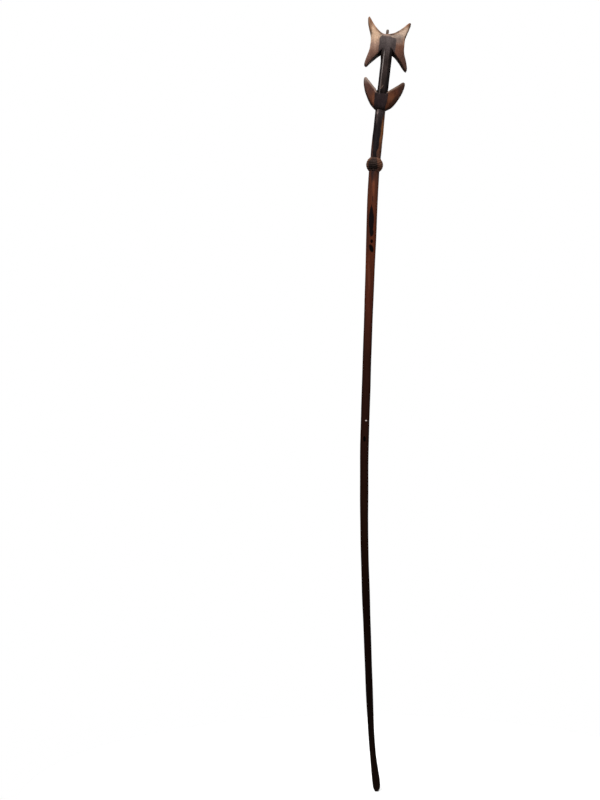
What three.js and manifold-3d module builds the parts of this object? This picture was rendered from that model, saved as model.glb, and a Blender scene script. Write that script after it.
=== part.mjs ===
// A prestige staff: a slim bent shaft with a ridged knob, a crescent and a four-horned crown.
// Millimetres, +Z up, +X to the right of someone facing its front, which looks towards -Y.
// The origin is the middle of the small flat tip of the foot.
//
// The wood is one carving. It is laid out here as its carved forms, stacked from the foot up, and
// each form meets the next face to face along a line that shows on the carving.

import * as THREE from 'three';
import { mergeVertices } from 'three/addons/utils/BufferGeometryUtils.js';
import Module from 'manifold-3d';

// Where two solids meet
const jointGap = 0.3;
const cutOverrun = 2;

// Shaft, from the flat tip of the foot to the underside of the knob
const shaftRise = 959.5;
const shaftWidth = 15.8;
const bowReach = 19.7;
const footTipWidth = 5;

// Knob
const knobDiameter = 26.4;
const knobHeight = 22;
const knobRidgeDepth = 0.6;

// Upper shaft, from the knob to the crescent
const upperShaftLength = 73.8;
const upperShaftWidth = 15.2;

// Crescent
const crescentSpan = 63.6;
const crescentHeight = 47.5;
const crescentSeatRise = 28.5;
const crescentThickness = 22;
const crescentArris = 1.1;

// Neck, from the crescent to the crown
const neckLength = 59;
const neckWidth = 16.4;
const neckDepth = 18;
const neckFootDepth = 20.4;
const neckHeadDepth = 24;
const neckLeftBevel = 1.8;
const neckRightBevel = 2.9;

// Crown
const crownSpan = 68.4;
const crownHeight = 77;
const crownThickness = 25;
const crownArris = 1.2;

// Pin in the crown
const pinWidth = 4.7;
const pinStand = 10;
const pinDepth = 16;
const pinOffset = -3.2;
const pinThreadDepth = 0.35;
const pinThreadPitch = 1.6;
const pinTipWidth = 3.8;
const pinTipRise = 2.6;

// Brad in the shaft
const bradHeadWidth = 2.9;
const bradHeadHeight = 1.1;
const bradStand = 0.6;
const bradShankWidth = 1.3;
const bradShankLength = 7;
const bradOffset = 1.2;
const bradRiseShare = 0.5984;

// How far each stretch leans to the right of upright, and how many of each repeated thing there are
const upperLean = THREE.MathUtils.degToRad(5.86);
const headLean = THREE.MathUtils.degToRad(6.82);
const knobRidges = 8;
const shaftSides = 16;
const knobSides = 32;
const pinSides = 20;
const bradSides = 16;
const saddleSteps = 200;

// The shaft's middle line and width, from the foot up: share of the rise, share of the bow to the
// left, and width as a share of the width at the knob.
const shaftStationShares = [
  [0.0045, 0.01, 0.6], [0.009, 0.035, 0.69], [0.018, 0.075, 0.71], [0.028, 0.135, 0.69],
  [0.038, 0.195, 0.655], [0.057, 0.3, 0.585], [0.076, 0.38, 0.575], [0.096, 0.45, 0.58],
  [0.125, 0.52, 0.63], [0.155, 0.58, 0.66], [0.23, 0.715, 0.695], [0.31, 0.85, 0.75],
  [0.385, 0.965, 0.755], [0.44, 0.998, 0.775], [0.5, 1, 0.805], [0.55, 0.985, 0.82],
  [0.6, 0.925, 0.835], [0.66, 0.835, 0.83], [0.735, 0.722, 0.83], [0.81, 0.59, 0.88],
  [0.89, 0.46, 0.96], [0.93, 0.39, 1.005], [0.965, 0.318, 1.01],
];
const shaftTopSideShare = 0.225;

// Outlines: share of half the span to the right, and share of the height above the neck's seat.
// The hand-carved left and right sides differ a little.
const crownLeftEdgeShares = [
  [-0.895, -0.304], [-0.962, -0.277], [-0.96, -0.227], [-0.913, -0.144], [-0.855, -0.046],
  [-0.815, 0.045], [-0.798, 0.141], [-0.797, 0.247], [-0.829, 0.348], [-0.907, 0.457], [-0.992, 0.553],
  [-1.028, 0.62], [-1.034, 0.663], [-1.002, 0.679],
];
const crownRightEdgeShares = [
  [0.935, -0.321], [0.966, -0.296], [0.955, -0.252], [0.903, -0.166], [0.836, -0.085],
  [0.774, -0.012], [0.738, 0.064], [0.724, 0.151], [0.718, 0.242], [0.746, 0.333], [0.801, 0.42],
  [0.863, 0.517], [0.903, 0.6], [0.901, 0.634], [0.867, 0.653],
];
const crownSaddleShares = [
  [-1.002, 0.679], [-0.944, 0.655], [-0.795, 0.559], [-0.651, 0.483], [-0.482, 0.419],
  [-0.316, 0.373], [-0.159, 0.355], [-0.01, 0.367], [0.224, 0.408], [0.423, 0.475], [0.606, 0.552],
  [0.785, 0.638], [0.867, 0.653],
];
const crownLeftUnderShares = [
  [-0.895, -0.304], [-0.827, -0.288], [-0.702, -0.221], [-0.553, -0.144], [-0.403, -0.073],
];
const crownRightUnderShares = [
  [0.418, -0.069], [0.589, -0.152], [0.729, -0.238], [0.85, -0.306], [0.935, -0.321],
];
const crescentLeftUnderShares = [
  [-0.969, 0.881], [-0.943, 0.759], [-0.858, 0.564], [-0.763, 0.427], [-0.636, 0.276], [-0.474, 0.129],
];
const crescentRightUnderShares = [
  [0.535, 0.127], [0.72, 0.291], [0.877, 0.49], [0.961, 0.631], [1.012, 0.762], [1.033, 0.866],
];
const crescentLeftTipShares = [
  [-0.969, 0.881], [-0.963, 0.971], [-0.884, 1],
];
const crescentRightTipShares = [
  [1.033, 0.866], [1.02, 0.94], [0.949, 0.965],
];
const crescentLeftTopShares = [
  [-0.884, 1], [-0.783, 0.936], [-0.624, 0.822], [-0.436, 0.693],
];
const crescentRightTopShares = [
  [0.535, 0.744], [0.753, 0.866], [0.87, 0.94], [0.949, 0.965],
];

// The upper shaft from the knob up: share of its length, share of its width under the crescent
const upperShaftStationShares = [[0, 1.02], [0.08, 1.04], [0.18, 1.055], [0.42, 1.025], [0.75, 1], [1, 1]];

// The neck from the crescent up: share of its length, and how much of the extra depth it has there
const neckStationShares = [
  [0, 1, 0], [0.08, 0.7, 0], [0.2, 0.3, 0], [0.4, 0.05, 0], [0.6, 0, 0.08], [0.8, 0, 0.35],
  [0.92, 0, 0.7], [1, 0, 1],
];

// How much thinner the plates are at their tips, and how near their edges the arris starts
const crownTipThinShare = 0.3;
const crescentTipThinShare = 0.35;
const crownRimShare = 0.4;
const crescentRimShare = 0.22;

// How finely each plate is cut: columns left of, over and right of its seat, and rows
const crownColumns = [7, 4, 7];
const crownRows = 12;
const crescentColumns = [7, 4, 7];
const crescentRows = 5;

const wasm = await Module();
wasm.setup();

// Shape helpers

function bodyFrom(points, triangles) {
  const geometry = new THREE.BufferGeometry();
  geometry.setAttribute('position', new THREE.Float32BufferAttribute(points.flatMap((p) => p.toArray()), 3));
  geometry.setIndex(triangles);
  return geometry;
}

// A closed body through rings of equally many points, from the lowest ring up, with flat ends
function loft(rings) {
  const sides = rings[0].length;
  const points = rings.flat();
  const triangles = [];
  for (let ring = 0; ring < rings.length - 1; ring += 1) {
    for (let side = 0; side < sides; side += 1) {
      const a = ring * sides + side;
      const b = ring * sides + ((side + 1) % sides);
      triangles.push(a, b, b + sides, a, b + sides, a + sides);
    }
  }
  for (const [ring, turn] of [[0, -1], [rings.length - 1, 1]]) {
    const middle = new THREE.Vector3();
    rings[ring].forEach((point) => middle.add(point));
    const hub = points.push(middle.divideScalar(sides)) - 1;
    for (let side = 0; side < sides; side += 1) {
      const a = ring * sides + side;
      const b = ring * sides + ((side + 1) % sides);
      triangles.push(hub, ...(turn > 0 ? [a, b] : [b, a]));
    }
  }
  return bodyFrom(points, triangles);
}

// A round ring about a middle point, square to a direction that leans to the right
function roundRing(middle, lean, width, sides) {
  return Array.from({ length: sides }, (_, side) => {
    const angle = (side / sides) * 2 * Math.PI;
    const across = (Math.cos(angle) * width) / 2;
    return new THREE.Vector3(
      middle.x + across * Math.cos(lean),
      (Math.sin(angle) * width) / 2,
      middle.z - across * Math.sin(lean),
    );
  });
}

// Shares from each stop to the next in equal steps, with one more line close to either end
function gridShares(stops, counts, rimShare) {
  const shares = [stops[0]];
  counts.forEach((count, span) => {
    for (let step = 1; step <= count; step += 1) {
      shares.push(THREE.MathUtils.lerp(stops[span], stops[span + 1], step / count));
    }
  });
  const last = shares.length - 1;
  shares.splice(last, 0, THREE.MathUtils.lerp(shares[last], shares[last - 1], rimShare));
  shares.splice(1, 0, THREE.MathUtils.lerp(shares[0], shares[1], rimShare));
  return shares;
}

// An edge of a plate that may hold a straight seat between two curved stretches
function seatedEdge(leftPoints, rightPoints, counts, rimShare) {
  const edge = new THREE.CurvePath();
  edge.add(new THREE.SplineCurve(leftPoints));
  edge.add(new THREE.LineCurve(leftPoints.at(-1), rightPoints[0]));
  edge.add(new THREE.SplineCurve(rightPoints));
  const lengths = edge.getCurveLengths();
  const stops = [0, lengths[0] / lengths[2], lengths[1] / lengths[2], 1];
  return gridShares(stops, counts, rimShare).map((share) => edge.getPoint(share));
}

function plainEdge(points, count, rimShare) {
  const edge = new THREE.SplineCurve(points);
  return gridShares([0, 1], [count], rimShare).map((share) => edge.getPointAt(share));
}

// A point between four edges: the blend of opposite edges, less the blend of the four corners
function patchPoint({ under, top, left, right, across, up }, column, row) {
  const [acrossShare, upShare] = [across[column], up[row]];
  const mix = (axis) => {
    const upDown = THREE.MathUtils.lerp(under[column][axis], top[column][axis], upShare);
    const leftRight = THREE.MathUtils.lerp(left[row][axis], right[row][axis], acrossShare);
    const lowCorners = THREE.MathUtils.lerp(under[0][axis], under.at(-1)[axis], acrossShare);
    const highCorners = THREE.MathUtils.lerp(top[0][axis], top.at(-1)[axis], acrossShare);
    return upDown + leftRight - THREE.MathUtils.lerp(lowCorners, highCorners, upShare);
  };
  return new THREE.Vector2(mix('x'), mix('y'));
}

// A carved plate between four edges: thick in its middle, thinner at its tips, its arrises taken off
function carvedPlate(edges, { thickness, middleRise, reach, tipThinShare, arris }) {
  const columns = edges.under.length;
  const rows = edges.left.length;
  const points = [];
  for (const face of [-1, 1]) {
    for (let row = 0; row < rows; row += 1) {
      for (let column = 0; column < columns; column += 1) {
        const place = patchPoint(edges, column, row);
        const away = Math.hypot(place.x, place.y - middleRise) / reach;
        const onRim = row === 0 || column === 0 || row === rows - 1 || column === columns - 1;
        const half = (thickness / 2) * (1 - tipThinShare * away * away) - (onRim ? arris : 0);
        points.push(new THREE.Vector3(place.x, face * half, place.y));
      }
    }
  }
  const back = rows * columns;
  const triangles = [];
  for (let row = 0; row < rows - 1; row += 1) {
    for (let column = 0; column < columns - 1; column += 1) {
      const a = row * columns + column;
      const [b, c, d] = [a + 1, a + columns + 1, a + columns];
      triangles.push(a, b, c, a, c, d);
      triangles.push(back + a, back + c, back + b, back + a, back + d, back + c);
    }
  }
  const rim = [];
  for (let column = 0; column < columns - 1; column += 1) rim.push(column);
  for (let row = 0; row < rows - 1; row += 1) rim.push(row * columns + columns - 1);
  for (let column = columns - 1; column > 0; column -= 1) rim.push((rows - 1) * columns + column);
  for (let row = rows - 1; row > 0; row -= 1) rim.push(row * columns);
  rim.forEach((a, place) => {
    const b = rim[(place + 1) % rim.length];
    triangles.push(a, back + a, back + b, a, back + b, b);
  });
  return bodyFrom(points, triangles);
}

// Turns a profile of [radius, height] about +Z
function turned(profile, segments) {
  const points = profile.map(([radius, height]) => new THREE.Vector2(radius, height));
  return new THREE.LatheGeometry(points, segments).rotateX(Math.PI / 2);
}

function toSolid(geometry) {
  const bare = geometry.clone();
  bare.deleteAttribute('normal');
  bare.deleteAttribute('uv');
  const merged = mergeVertices(bare);
  return new wasm.Manifold(new wasm.Mesh({
    numProp: 3,
    vertProperties: new Float32Array(merged.attributes.position.array),
    triVerts: new Uint32Array(merged.index.array),
  }));
}

function cutAway(geometry, cutters) {
  const solid = cutters.reduce((rest, cutter) => rest.subtract(toSolid(cutter)), toSolid(geometry));
  const mesh = solid.getMesh();
  const cut = new THREE.BufferGeometry();
  cut.setAttribute('position', new THREE.BufferAttribute(new Float32Array(mesh.vertProperties), 3));
  cut.setIndex(new THREE.BufferAttribute(new Uint32Array(mesh.triVerts), 1));
  return cut;
}

function piece(name, geometry, color, roughness, metalness = 0) {
  const material = new THREE.MeshStandardMaterial({ color, roughness, metalness });
  const mesh = new THREE.Mesh(geometry, material);
  mesh.name = name;
  return mesh;
}

function total(counts) {
  return counts.reduce((sum, count) => sum + count);
}

function scaled(shares, across, up) {
  return shares.map(([acrossShare, upShare]) => new THREE.Vector2(acrossShare * across, upShare * up));
}

// Shaft

const shaftTop = new THREE.Vector3(-shaftTopSideShare * bowReach, 0, shaftRise);

function shaftStations() {
  const stations = shaftStationShares.map(([rise, side, width]) => ({
    middle: new THREE.Vector3(-side * bowReach, 0, rise * shaftRise),
    width: width * shaftWidth,
  }));
  return [
    { middle: new THREE.Vector3(), width: footTipWidth },
    ...stations,
    { middle: shaftTop, width: shaftWidth },
  ];
}

// The shaft's middle and width at any share of its rise
function shaftAt(riseShare) {
  const stations = shaftStations();
  const above = stations.findIndex(({ middle }) => middle.z > riseShare * shaftRise);
  const [low, high] = [stations[above - 1], stations[above]];
  const within = (riseShare * shaftRise - low.middle.z) / (high.middle.z - low.middle.z);
  return {
    middle: new THREE.Vector3().lerpVectors(low.middle, high.middle, within),
    width: THREE.MathUtils.lerp(low.width, high.width, within),
  };
}

function shaftBody() {
  const stations = shaftStations();
  const rings = stations.map(({ middle, width }, index) => {
    const before = stations[Math.max(index - 1, 0)].middle;
    const after = stations[Math.min(index + 1, stations.length - 1)].middle;
    let lean = Math.atan2(after.x - before.x, after.z - before.z);
    if (index === 0) lean = 0;
    if (index === stations.length - 1) lean = upperLean;
    return roundRing(middle, lean, width, shaftSides);
  });
  return loft(rings);
}

// The brad stands square to the front of the shaft, its head partly sunk

const bradPlace = shaftAt(bradRiseShare);
const bradSeat = new THREE.Vector3(
  bradPlace.middle.x + bradOffset,
  -Math.sqrt((bradPlace.width / 2) ** 2 - bradOffset ** 2),
  bradPlace.middle.z,
);

function facingFront(geometry) {
  return geometry.rotateX(Math.PI / 2).translate(bradSeat.x, bradSeat.y, bradSeat.z);
}

function bradBody() {
  const sunk = bradHeadHeight - bradStand;
  const point = -sunk - bradShankLength;
  const shank = bradShankWidth / 2;
  const head = bradHeadWidth / 2;
  return facingFront(turned([
    [0, point], [shank / 2, point], [shank, point + shank], [shank, -sunk], [head, -sunk], [head, 0],
    [head * Math.SQRT1_2, bradStand * Math.SQRT1_2], [0, bradStand],
  ], bradSides));
}

function bradHole() {
  const sunk = bradHeadHeight - bradStand + jointGap;
  const shank = bradShankWidth / 2 + jointGap;
  const head = bradHeadWidth / 2 + jointGap;
  const floor = -sunk - bradShankLength;
  return facingFront(turned([
    [0, floor], [shank, floor], [shank, -sunk], [head, -sunk], [head, cutOverrun], [0, cutOverrun],
  ], bradSides));
}

// Knob: a ball cut across by the shaft, scored with level ridges

function knobBody() {
  const radius = knobDiameter / 2;
  const half = knobHeight / 2;
  const profile = [[0, -half]];
  for (let line = 0; line <= 2 * knobRidges; line += 1) {
    const height = THREE.MathUtils.lerp(-half, half, line / (2 * knobRidges));
    const scored = line % 2 === 0 ? knobRidgeDepth : 0;
    profile.push([Math.sqrt(radius * radius - height * height) - scored, height]);
  }
  profile.push([0, half]);
  return turned(profile, knobSides);
}

// Upper shaft: straight, with its top cut square to the head's greater lean

function upperShaftBody() {
  const rings = upperShaftStationShares.map(([riseShare, widthShare], index) => {
    const middle = new THREE.Vector3(0, 0, riseShare * upperShaftLength);
    const lean = index === upperShaftStationShares.length - 1 ? headLean - upperLean : 0;
    return roundRing(middle, lean, widthShare * upperShaftWidth, shaftSides);
  });
  return loft(rings);
}

// Crescent: a boat-shaped plate with a flat seat under it for the shaft and one on it for the neck

function crescentBody() {
  const across = crescentSpan / 2;
  const place = (shares) => scaled(shares, across, crescentHeight);
  const shaftSeat = upperShaftWidth / 2;
  const neckSeat = neckWidth / 2 + jointGap;
  const edges = {
    under: seatedEdge(
      [...place(crescentLeftUnderShares), new THREE.Vector2(-shaftSeat, 0)],
      [new THREE.Vector2(shaftSeat, 0), ...place(crescentRightUnderShares)],
      crescentColumns,
      crescentRimShare,
    ),
    top: seatedEdge(
      [...place(crescentLeftTopShares), new THREE.Vector2(-neckSeat, crescentSeatRise)],
      [new THREE.Vector2(neckSeat, crescentSeatRise), ...place(crescentRightTopShares)],
      crescentColumns,
      crescentRimShare,
    ),
    left: plainEdge(place(crescentLeftTipShares), crescentRows, crescentRimShare),
    right: plainEdge(place(crescentRightTipShares), crescentRows, crescentRimShare),
    across: gridShares([0, 1], [total(crescentColumns)], crescentRimShare),
    up: gridShares([0, 1], [crescentRows], crescentRimShare),
  };
  return carvedPlate(edges, {
    thickness: crescentThickness,
    middleRise: crescentSeatRise / 2,
    reach: Math.hypot(across, crescentHeight / 2),
    tipThinShare: crescentTipThinShare,
    arris: crescentArris,
  });
}

// Neck: a post with flat front, back and sides, its corners taken off, deeper towards either plate

function neckRing(rise, depth) {
  const side = neckWidth / 2;
  const front = -depth / 2;
  const [left, right] = [neckLeftBevel, neckRightBevel];
  return [
    [side, front + right], [side, -front - right], [side - right, -front], [left - side, -front],
    [-side, -front - left], [-side, front + left], [left - side, front], [side - right, front],
  ].map(([x, y]) => new THREE.Vector3(x, y, rise));
}

function neckBody() {
  return loft(neckStationShares.map(([riseShare, footShare, headShare]) => {
    const extraFoot = footShare * (neckFootDepth - neckDepth);
    const extraHead = headShare * (neckHeadDepth - neckDepth);
    return neckRing(riseShare * neckLength, neckDepth + extraFoot + extraHead);
  }));
}

// Crown: a four-horned plate with a deep notch on either side of the neck

const crownSaddle = scaled(crownSaddleShares, crownSpan / 2, crownHeight);

// The pin stands in the saddle, where the saddle's own height is read off beside it
function saddleRiseAt(across) {
  const points = new THREE.SplineCurve(crownSaddle).getSpacedPoints(saddleSteps);
  const after = points.findIndex(({ x }) => x >= across);
  const [low, high] = [points[after - 1], points[after]];
  return THREE.MathUtils.mapLinear(across, low.x, high.x, low.y, high.y);
}

function crownBody() {
  const across = crownSpan / 2;
  const place = (shares) => scaled(shares, across, crownHeight);
  const neckSeat = neckWidth / 2 + jointGap;
  const edges = {
    under: seatedEdge(
      [...place(crownLeftUnderShares), new THREE.Vector2(-neckSeat, 0)],
      [new THREE.Vector2(neckSeat, 0), ...place(crownRightUnderShares)],
      crownColumns,
      crownRimShare,
    ),
    top: plainEdge(crownSaddle, total(crownColumns), crownRimShare),
    left: plainEdge(place(crownLeftEdgeShares), crownRows, crownRimShare),
    right: plainEdge(place(crownRightEdgeShares), crownRows, crownRimShare),
    across: gridShares([0, 1], [total(crownColumns)], crownRimShare),
    up: gridShares([0, 1], [crownRows], crownRimShare),
  };
  const plate = carvedPlate(edges, {
    thickness: crownThickness,
    middleRise: saddleRiseAt(0) / 2,
    reach: Math.hypot(across, crownHeight / 2),
    tipThinShare: crownTipThinShare,
    arris: crownArris,
  });
  return cutAway(plate, [pinBore()]);
}

// Pin: a plain shank in a blind bore, its stub scored like a worn thread below a narrower tip

function inPinPlace(geometry) {
  return geometry.translate(pinOffset, 0, saddleRiseAt(pinOffset));
}

function pinBore() {
  const radius = pinWidth / 2 + jointGap;
  const floor = -pinDepth - jointGap;
  return inPinPlace(turned([[0, floor], [radius, floor], [radius, pinStand], [0, pinStand]], pinSides));
}

function pinBody() {
  const radius = pinWidth / 2;
  const tipRadius = pinTipWidth / 2;
  const tip = pinStand - pinTipRise;
  const scores = Math.floor(tip / pinThreadPitch);
  const profile = [[0, -pinDepth], [radius / 2, -pinDepth], [radius, radius / 2 - pinDepth]];
  for (let score = 0; score < scores; score += 1) {
    const crest = (score + 0.5) * pinThreadPitch;
    profile.push([radius, crest - pinThreadPitch / 4], [radius - pinThreadDepth, crest + pinThreadPitch / 4]);
  }
  profile.push(
    [tipRadius, tip + radius - tipRadius],
    [tipRadius, pinStand - tipRadius / 2],
    [tipRadius / 2, pinStand],
    [0, pinStand],
  );
  return inPinPlace(turned(profile, pinSides));
}

// The stack, from the foot up: each stretch stands on the one below and leans a little more

const staff = new THREE.Group();
staff.add(piece('shaft', cutAway(shaftBody(), [bradHole()]), 0x3a1d14, 0.45));
staff.add(piece('shaft_brad', bradBody(), 0xb8a898, 0.35, 1));

const upper = new THREE.Group();
upper.position.copy(shaftTop);
upper.rotation.y = upperLean;
staff.add(upper);

const knob = piece('knob', knobBody(), 0x57402f, 0.7);
knob.position.z = jointGap + knobHeight / 2;
upper.add(knob);

const upperShaft = piece('upper_shaft', upperShaftBody(), 0x4a342c, 0.5);
upperShaft.position.z = knobHeight + 2 * jointGap;
upper.add(upperShaft);

const head = new THREE.Group();
head.position.z = upperShaft.position.z + upperShaftLength;
head.rotation.y = headLean - upperLean;
upper.add(head);

const crescent = piece('crescent', crescentBody(), 0x6b4030, 0.5);
crescent.position.z = jointGap;
head.add(crescent);

const neck = piece('neck', neckBody(), 0x382f2c, 0.5);
neck.position.z = crescent.position.z + crescentSeatRise + jointGap;
head.add(neck);

const crown = piece('crown', crownBody(), 0xa5806a, 0.5);
crown.position.z = neck.position.z + neckLength + jointGap;
head.add(crown);

const crownPin = piece('crown_pin', pinBody(), 0x4d453e, 0.55, 0.9);
crownPin.position.copy(crown.position);
head.add(crownPin);

export default staff;
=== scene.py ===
import math

import bpy
import numpy as np
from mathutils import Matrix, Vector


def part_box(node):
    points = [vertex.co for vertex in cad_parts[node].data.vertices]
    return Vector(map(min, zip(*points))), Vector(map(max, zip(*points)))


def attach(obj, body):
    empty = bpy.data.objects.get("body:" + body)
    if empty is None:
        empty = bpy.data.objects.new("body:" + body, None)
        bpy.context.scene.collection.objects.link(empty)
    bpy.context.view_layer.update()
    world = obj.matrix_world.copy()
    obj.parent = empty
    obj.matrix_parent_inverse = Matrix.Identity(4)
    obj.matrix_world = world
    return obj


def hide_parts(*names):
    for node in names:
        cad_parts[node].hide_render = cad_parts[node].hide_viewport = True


# A carved prestige staff: a bent shaft, a scored knob, a crescent and a four-horned crown.
# Metres, +Z up. The crown's front looks towards -Y, and the foot stands on the origin.

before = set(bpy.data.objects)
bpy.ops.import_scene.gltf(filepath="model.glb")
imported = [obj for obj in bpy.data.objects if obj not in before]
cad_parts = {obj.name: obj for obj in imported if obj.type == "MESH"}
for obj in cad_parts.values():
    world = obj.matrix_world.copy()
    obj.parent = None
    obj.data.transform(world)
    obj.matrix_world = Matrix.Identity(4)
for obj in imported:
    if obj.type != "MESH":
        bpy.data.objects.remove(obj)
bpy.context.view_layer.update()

# Values that several pieces share
stack = {
    "upperLean": 5.86,  # degrees to the right of upright, from the knob to the crescent
    "headLean": 6.82,  # degrees, from the crescent up
    "gap": 0.0003,
    "knobHeight": 0.022,
    "upperShaftLength": 0.0738,
    "crescentSeatRise": 0.0285,
    "neckLength": 0.059,
    "neckWidth": 0.0164,
}


def leanOf(degrees):
    # A direction that leans to the right of upright: the sine of the angle across, the cosine up
    angle = math.radians(degrees)
    return np.array([math.sin(angle), 0, math.cos(angle)])


knobMiddle = np.mean(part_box("knob"), axis=0)
upperUp = leanOf(stack["upperLean"])
headUp = leanOf(stack["headLean"])
upperFoot = knobMiddle + upperUp * (stack["knobHeight"] / 2 + stack["gap"])
headFoot = upperFoot + upperUp * stack["upperShaftLength"]
crescentFoot = headFoot + headUp * stack["gap"]
neckFoot = crescentFoot + headUp * (stack["crescentSeatRise"] + stack["gap"])
crownFoot = neckFoot + headUp * (stack["neckLength"] + stack["gap"])


# Shape helpers

pathPoints = 60  # how many points an edge that is measured to has
pathSteps = 80  # how many steps a smooth path takes between two of its points
leastSquare = 1e-16  # keeps a stretch of no length from dividing by nothing
handWaves = 9  # how many waves make up hand unevenness
handSpread = (0.7, 1.5)  # the range of their lengths, as shares of the size asked for


def readOff(line, shares, columns):
    # The columns that go with a line's points, at the given shares of the line's length
    lengths = np.concatenate([[0], np.cumsum(np.linalg.norm(np.diff(line, axis=0), axis=1))])
    return np.column_stack([np.interp(shares * lengths[-1], lengths, column) for column in columns.T])


def unitRows(rows):
    # Each row divided by its length
    return rows / np.linalg.norm(rows, axis=1)[:, None]


def smoothPath(points, shares):
    # A curve through given points. Between two of them it is the cubic whose slope at each one is
    # half the step between its neighbours. It is read off at the given shares of its whole length.
    points = np.asarray(points, float)
    padded = np.vstack([points[:1], points, points[-1:]])
    steps = np.linspace(0, len(points) - 1, pathSteps * (len(points) - 1) + 1)
    cell = np.minimum(steps.astype(int), len(points) - 2)
    t = (steps - cell)[:, None]
    before, here, there, after = (padded[cell + place] for place in range(4))
    slopeHere, slopeThere = (there - before) / 2, (after - here) / 2
    path = (
        here * (1 + 2 * t) * (1 - t) ** 2 + slopeHere * t * (1 - t) ** 2
        + there * t ** 2 * (3 - 2 * t) + slopeThere * t ** 2 * (t - 1)
    )
    return readOff(path, shares, path)


def bothEnds(count):
    # Shares from 0 to 1 that crowd at both ends, like the shadow of a point going round half a circle
    return (1 - np.cos(np.linspace(0, math.pi, count))) / 2


def slowStart(count):
    # Shares from 0 towards 1 that crowd at 0: one less the cosine over a quarter circle
    return 1 - np.cos(np.linspace(0, math.pi / 2, count, endpoint=False))


def slowEnd(count):
    # Shares from 0 to 1 that crowd at 1: the sine over a quarter circle
    return np.sin(np.linspace(0, math.pi / 2, count))


def seatedShares(seatStart, seatEnd, counts):
    # Shares that crowd at the two ends and run evenly over the seat between them
    seat = np.linspace(seatStart, seatEnd, counts[1], endpoint=False)
    right = seatEnd + (1 - seatEnd) * slowEnd(counts[2])
    return np.concatenate([seatStart * slowStart(counts[0]), seat, right])


def seatedEdge(leftPoints, rightPoints, counts):
    # A curved stretch, a straight seat and a second curved stretch, crowded at the outer ends
    along = np.linspace(0, 1, counts[1], endpoint=False)[:, None]
    seat = leftPoints[-1] * (1 - along) + rightPoints[0] * along
    left = smoothPath(leftPoints, slowStart(counts[0]))
    return np.vstack([left, seat, smoothPath(rightPoints, slowEnd(counts[2]))])


def anglesRound(count):
    # Angles evenly spaced once round a circle
    return np.linspace(0, 2 * math.pi, count, endpoint=False)


def fourSided(edges, across, up):
    # The blend of the lower and upper edges, plus that of the left and right ones, less that of the corners
    s, t = across[None, :, None], up[:, None, None]
    under, top = edges["under"], edges["top"]
    upDown = under[None] * (1 - t) + top[None] * t
    leftRight = edges["left"][:, None] * (1 - s) + edges["right"][:, None] * s
    corners = (under[0] * (1 - s) + under[-1] * s) * (1 - t) + (top[0] * (1 - s) + top[-1] * s) * t
    return upDown + leftRight - corners


def distanceTo(points, line):
    # The shortest distance from each point to the straight pieces between a line's points
    start, step = line[:-1], np.diff(line, axis=0)
    flat = points.reshape(-1, 2)
    squares = np.maximum((step ** 2).sum(1), leastSquare)
    share = np.clip((flat @ step.T - (start * step).sum(1)) / squares, 0, 1)
    gapX = flat[:, :1] - start[:, 0] - share * step[:, 0]
    gapY = flat[:, 1:] - start[:, 1] - share * step[:, 1]
    return np.sqrt((gapX ** 2 + gapY ** 2).min(1)).reshape(points.shape[:-1])


def handWork(points, size, seed):
    # Hand unevenness from -1 to 1: the mean of a few waves of about one size, in seeded directions
    rng = np.random.default_rng(seed)
    directions = unitRows(rng.normal(size=(handWaves, 3)))
    directions *= 2 * math.pi / (size * rng.uniform(*handSpread, (handWaves, 1)))
    return np.sin(points @ directions.T + rng.uniform(0, 2 * math.pi, handWaves)).mean(-1) * 2


def slope(gap, reach):
    # 0 where the gap is well below nothing and 1 where it is well above, in a straight line over the reach
    return np.clip(0.5 + gap / reach, 0, 1)


def bell(gap, reach, power=2):
    # 1 where the gap is nothing, falling off over the reach. A higher power has a flatter top.
    return np.exp(-np.abs(gap / reach) ** power)


def leaning(points, foot, up):
    # Local across, depth and rise, turned so that the rise runs along the leaning direction
    right = np.array([up[2], 0, -up[0]])
    return foot + points[..., :1] * right + points[..., 1:2] * [0, 1, 0] + points[..., 2:] * up


def gridQuads(columns, rows, wrap=False):
    # The four corner numbers of every cell of a grid that is stored row after row
    column = np.arange(columns if wrap else columns - 1)
    low = np.arange(rows - 1)[:, None] * columns
    beside = (column + 1) % columns
    corners = [low + column, low + beside, low + columns + beside, low + columns + column]
    return np.stack(corners, -1).reshape(-1, 4)


def addObject(name, data):
    # Puts a mesh, a light or a camera into the scene
    added = bpy.data.objects.new(name, data)
    bpy.context.scene.collection.objects.link(added)
    return added


def makePiece(name, points, faces, nodes, slot, marks=None):
    # Puts the points and faces into a mesh, smooth all over, with any marks as point attributes
    mesh = bpy.data.meshes.new(name)
    mesh.from_pydata(points.tolist(), [], faces)
    mesh.shade_smooth()
    for label, values in (marks or {}).items():
        attribute = mesh.attributes.new(label, "FLOAT", "POINT")
        attribute.data.foreach_set("value", values.astype(np.float32))
    mesh.validate()
    piece = addObject(name, mesh)
    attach(piece, "root")
    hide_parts(*nodes)
    print(f"{name}: {len(mesh.polygons)} faces")
    return piece


def closedTube(rings):
    # Rings of equally many points from the lowest up, joined side by side, each end closed on its middle
    rows, around = rings.shape[:2]
    points = np.vstack([rings.reshape(-1, 3), rings[0].mean(0), rings[-1].mean(0)])
    here = np.arange(around)
    beside = (here + 1) % around
    last = (rows - 1) * around
    low = np.column_stack([np.full(around, rows * around), beside, here])
    high = np.column_stack([np.full(around, rows * around + 1), last + here, last + beside])
    faces = gridQuads(around, rows, wrap=True).tolist() + low.tolist() + high.tolist()
    return points, faces


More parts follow.
